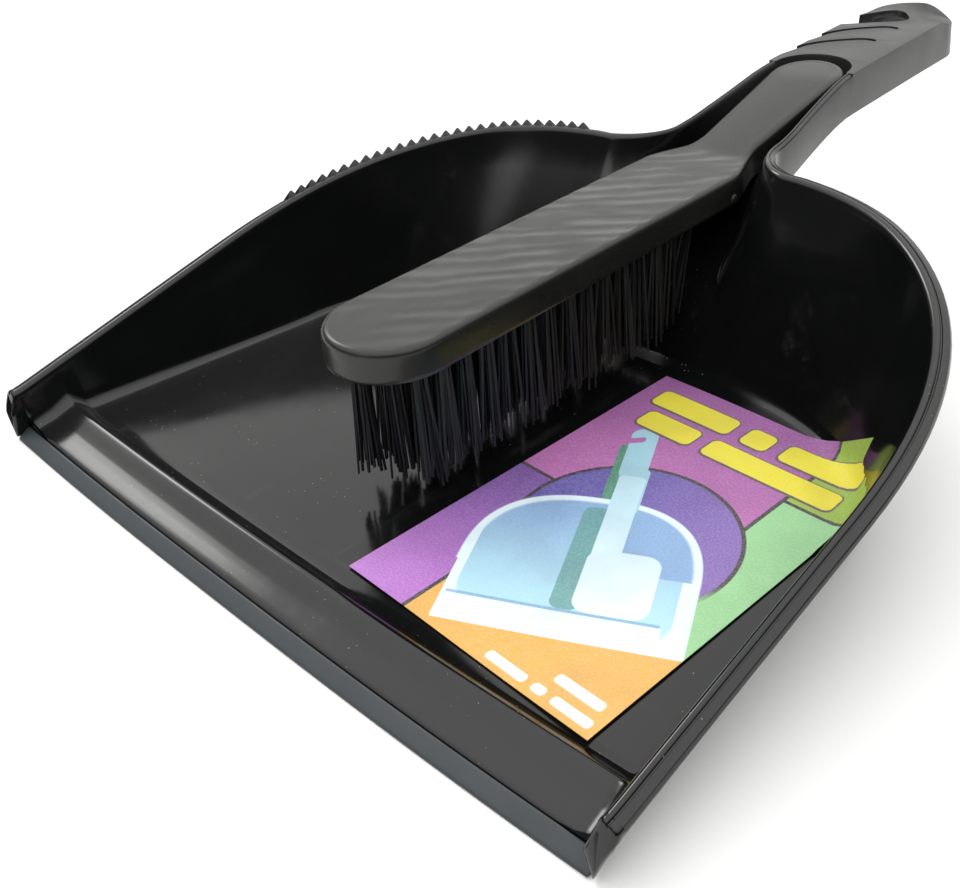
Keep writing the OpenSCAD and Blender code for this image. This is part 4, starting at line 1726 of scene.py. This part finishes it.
    def strand(self, shape: Sequence[Vector], x: float, tuft: Tuft,
               draw: random.Random) -> tuple[list[Vector], float]:
        """One straight strand that splays from its tuft and ends unevenly.

        Args:
            shape: Points of a unit strand.
            x: Distance of its row from the middle in millimetres.
            tuft: The tuft it belongs to.
            draw: Source of the random draws.

        Returns:
            Its points in metres and its shade, 0 to 1.
        """
        a, r = draw.uniform(0, math.tau), math.sqrt(draw.random())
        root = Vector((math.cos(a), math.sin(a))) * r * self.tuft_r
        spread = root * draw.uniform(0.5, 1.3) + tuft.lean
        spread += Vector((draw.gauss(0, 0.6), draw.gauss(0, 0.8)))
        if spread.length > tuft.limit:
            spread *= tuft.limit / spread.length
        length = self.bristle_l + draw.uniform(-3.2, 1.6) + (1.2 if tuft.y < 20 else 0.0)
        width = self.strand_r * draw.uniform(0.75, 1.2)
        twist = draw.uniform(0, math.tau)
        tint = draw.random()
        length -= self.spare_short * tuft.spare
        spread.y -= self.spare_lean * tuft.spare
        top = Vector((x + root.x, tuft.y + root.y, -self.block_t + 1.0))
        tip = top + Vector((spread.x, spread.y, -length - 1.0))
        sway = Vector((draw.gauss(0, 0.12), draw.gauss(0, 0.12), 0))
        points = []
        for co in shape:
            share = 0.5 - co.z
            ring = Vector((co.x * math.cos(twist) - co.y * math.sin(twist),
                           co.x * math.sin(twist) + co.y * math.cos(twist), 0))
            thin = width * (0.82 if share > 0.5 else 1.0)
            middle = top.lerp(tip, share) + sway * (1 if share > 0.5 else 0)
            points.append(self.place(*(middle + Vector((ring.x * thin * 0.7, ring.y * thin, 0)))))
        return points, tint

    def build_row(self, row: int, draw: random.Random) -> bpy.types.Object:
        """One row of tufts.

        Args:
            row: Number of the row, from 1 at the left.
            draw: Source of the random draws.

        Returns:
            The finished piece.
        """
        shape, faces = self.strand_model()
        x = (row - 2.5) * ((self.block_w - 2 * self.row_edge) / 3)
        outer = abs(row - 2.5) > 1
        places, sides, tints = [], [], []
        ys = self.tuft_ys(row)
        for k, y in enumerate(ys):
            lean = Vector((draw.uniform(-1.0, 1.0), draw.uniform(-1.0, 1.0))) * 0.9
            tuft = Tuft(y, lean, 3.4 if outer else 2.6, max(k + 1 + self.spare_tufts - len(ys), 0))
            for _ in range(self.strands):
                points, tint = self.strand(shape, x, tuft, draw)
                sides += [tuple(len(places) + corner for corner in face) for face in faces]
                places += points
                tints += [tint] * len(points)
        mesh = bpy.data.meshes.new(f"bristles_row_{row}")
        mesh.from_pydata(places, [], sides)
        mesh.attributes.new("strand", "FLOAT", "POINT").data.foreach_set("value", tints)
        piece = bpy.data.objects.new(f"bristles_row_{row}", mesh)
        bpy.context.scene.collection.objects.link(piece)
        take(piece)
        bpy.ops.object.shade_smooth_by_angle(angle=math.radians(50))
        return piece

    def build(self) -> None:
        """Builds and dresses every piece of the brush."""
        satin = MouldedPlastic("brush_satin_plastic", srgb(28, 28, 27), gloss=0.25, gloss_spread=0.06,
                               waves=0.25, grain=0.06, dust=0.4, scuff=0.3,
                               scuff_shade=srgb(96, 96, 92), ripple=0.45,
                               ripple_y=(self.tip_y, self.tip_y + (self.block_l - 2) * MM)).material()
        set_down(self.build_block(), Body.BRUSH, Slot.BRUSH, satin, "brush_body")
        for side in (-1, 1):
            set_down(self.build_nub(side), Body.BRUSH, Slot.BRUSH, satin, "brush_body")
        fibre = BristleFibre().material()
        draw = random.Random(20)
        for row in range(1, 5):
            set_down(self.build_row(row, draw), Body.BRUSH, Slot.BRISTLE, fibre, f"tufts_row_{row}")
        self.dress_anchors()

    def dress_anchors(self) -> None:
        """Gives the steel anchors inside the block their finish."""
        wire = DrawnWire().material()
        for row in range(1, 5):
            node = FRAME["nodes"][f"anchors_row_{row}"]
            for slot in node.material_slots:
                slot.material = wire
            if not node.material_slots:
                node.data.materials.append(wire)
            LOG.info("%s dressed in steel", node.name)


# The studio ------------------------------------------------------------------


@dataclass
class Studio:
    """The camera, the pale floor and the soft light."""

    eye: tuple[float, float, float] = (0.18266, -0.25101, 0.16926)
    azimuth: float = 46.71
    elevation: float = 33.74
    roll: float = -3.98
    lens: float = 41.05
    OVERHEAD = (0.28, 0.58, 0.10, 1.30)
    ZENITH = (0.55, 0.90, 0.0, 0.60)
    GLOWS = (((81.0, 36.0), 3.0, 12.5, 4.2), ((183.0, 24.0), 2.0, 9.0, 1.3))
    dim_side: float = 0.65
    key_place: tuple[float, float, float] = (-1.3, 0.15, 1.05)
    key_size: float = 0.35
    key_power: float = 1.6

    def build_camera(self) -> None:
        """Sets the camera at its fixed angle."""
        az, el, ro = (math.radians(v) for v in (self.azimuth, self.elevation, self.roll))
        ahead = Vector((-math.sin(az) * math.cos(el), math.cos(az) * math.cos(el), -math.sin(el)))
        level = Vector((math.cos(az), math.sin(az), 0))
        above = level.cross(ahead)
        right = level * math.cos(ro) + above * math.sin(ro)
        up = above * math.cos(ro) - level * math.sin(ro)
        data = bpy.data.cameras.new("camera")
        data.lens, data.sensor_width = self.lens, 36.0
        data.clip_start, data.clip_end = 0.01, 20.0
        camera = bpy.data.objects.new("camera", data)
        turn = Matrix((right, up, -ahead)).transposed().to_4x4()
        camera.matrix_world = Matrix.Translation(self.eye) @ turn
        bpy.context.scene.collection.objects.link(camera)
        bpy.context.scene.camera = camera

    def build_floor(self) -> None:
        """Lays the plain pale floor."""
        deselect()
        bpy.ops.mesh.primitive_plane_add(size=12, location=(0, 0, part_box("dust_pan")[0].z))
        floor = started("studio_floor")
        material, tree, shader, place = new_material("floor_white")
        tree.links.new(tree.mix(tree.noise(place, 3.0), (0.88, 0.88, 0.88, 1), (0.90, 0.90, 0.90, 1)),
                       shader.inputs["Base Color"])
        shader.inputs["Roughness"].default_value = 0.9
        shader.inputs["Specular IOR Level"].default_value = 0.1
        floor.data.materials.append(material)

    def add_softbox(self, name: str, place: tuple[float, float, float], size: float, power: float) -> None:
        """Hangs a square softbox that faces the object.

        Args:
            name: Name of the light.
            place: Where it hangs, in metres.
            size: Length of its sides.
            power: Its power in watts.
        """
        data = bpy.data.lights.new(name, "AREA")
        data.shape, data.size, data.energy = "SQUARE", size, power
        light = bpy.data.objects.new(name, data)
        light.location = place
        light.rotation_mode = "QUATERNION"
        light.rotation_quaternion = Vector(place).to_track_quat("Z", "Y")
        bpy.context.scene.collection.objects.link(light)

    def build_sky(self) -> None:
        """Lights the room: bright overhead, dim at eye level, with a window's glow."""
        world = bpy.data.worlds.new("studio_sky")
        bpy.context.scene.world = world
        world.use_nodes = True
        tree = Tree(world.node_tree.nodes, world.node_tree.links)
        ahead = tree.add("TexCoord").outputs["Generated"]
        x, y, z = tree.add("SeparateXYZ", {0: ahead}).outputs
        tilted = tree.math("MULTIPLY_ADD", tree.math("MAXIMUM", y, 0.0), 0.3, z)
        level = tree.ramp(tilted, *self.OVERHEAD)
        level = tree.math("ADD", level, tree.ramp(z, *self.ZENITH))
        shade = tree.math("MULTIPLY", tree.ramp(x, 0.05, 0.5), tree.ramp(z, 0.6, 0.4))
        level = tree.math("MULTIPLY", level, tree.math("MULTIPLY_ADD", shade, -self.dim_side, 1.0))
        for (azimuth, elevation), inner, outer, glow in self.GLOWS:
            az, el = math.radians(azimuth), math.radians(elevation)
            towards = (-math.sin(az) * math.cos(el), math.cos(az) * math.cos(el), math.sin(el))
            near = tree.add("VectorMath", {0: ahead, 1: towards}, operation="DOT_PRODUCT").outputs["Value"]
            outside, inside = math.cos(math.radians(outer)), math.cos(math.radians(inner))
            patch = tree.ramp(near, outside, inside, 0.0, glow)
            level = tree.math("ADD", level, patch)
        tree.links.new(level, world.node_tree.nodes["Background"].inputs["Strength"])
        world.node_tree.nodes["Background"].inputs["Color"].default_value = (1, 1, 0.985, 1)

    def build(self) -> None:
        """Builds the camera, the floor and the lights."""
        self.build_camera()
        self.build_floor()
        self.build_sky()
        self.add_softbox("key_softbox", self.key_place, self.key_size, self.key_power)
        bpy.context.scene.view_settings.view_transform = "Standard"


def main() -> None:
    """Builds the set piece by piece, then the studio round it."""
    EFFECTS.build()
    pan = DustPan()
    pan.build()
    LipStrip(pan).build()
    PaperLabel(pan).build()
    HandBrush().build()
    Studio().build()


if __name__ == "__main__":
    logging.basicConfig(level=logging.INFO, format="%(message)s")
    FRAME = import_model()
    main()
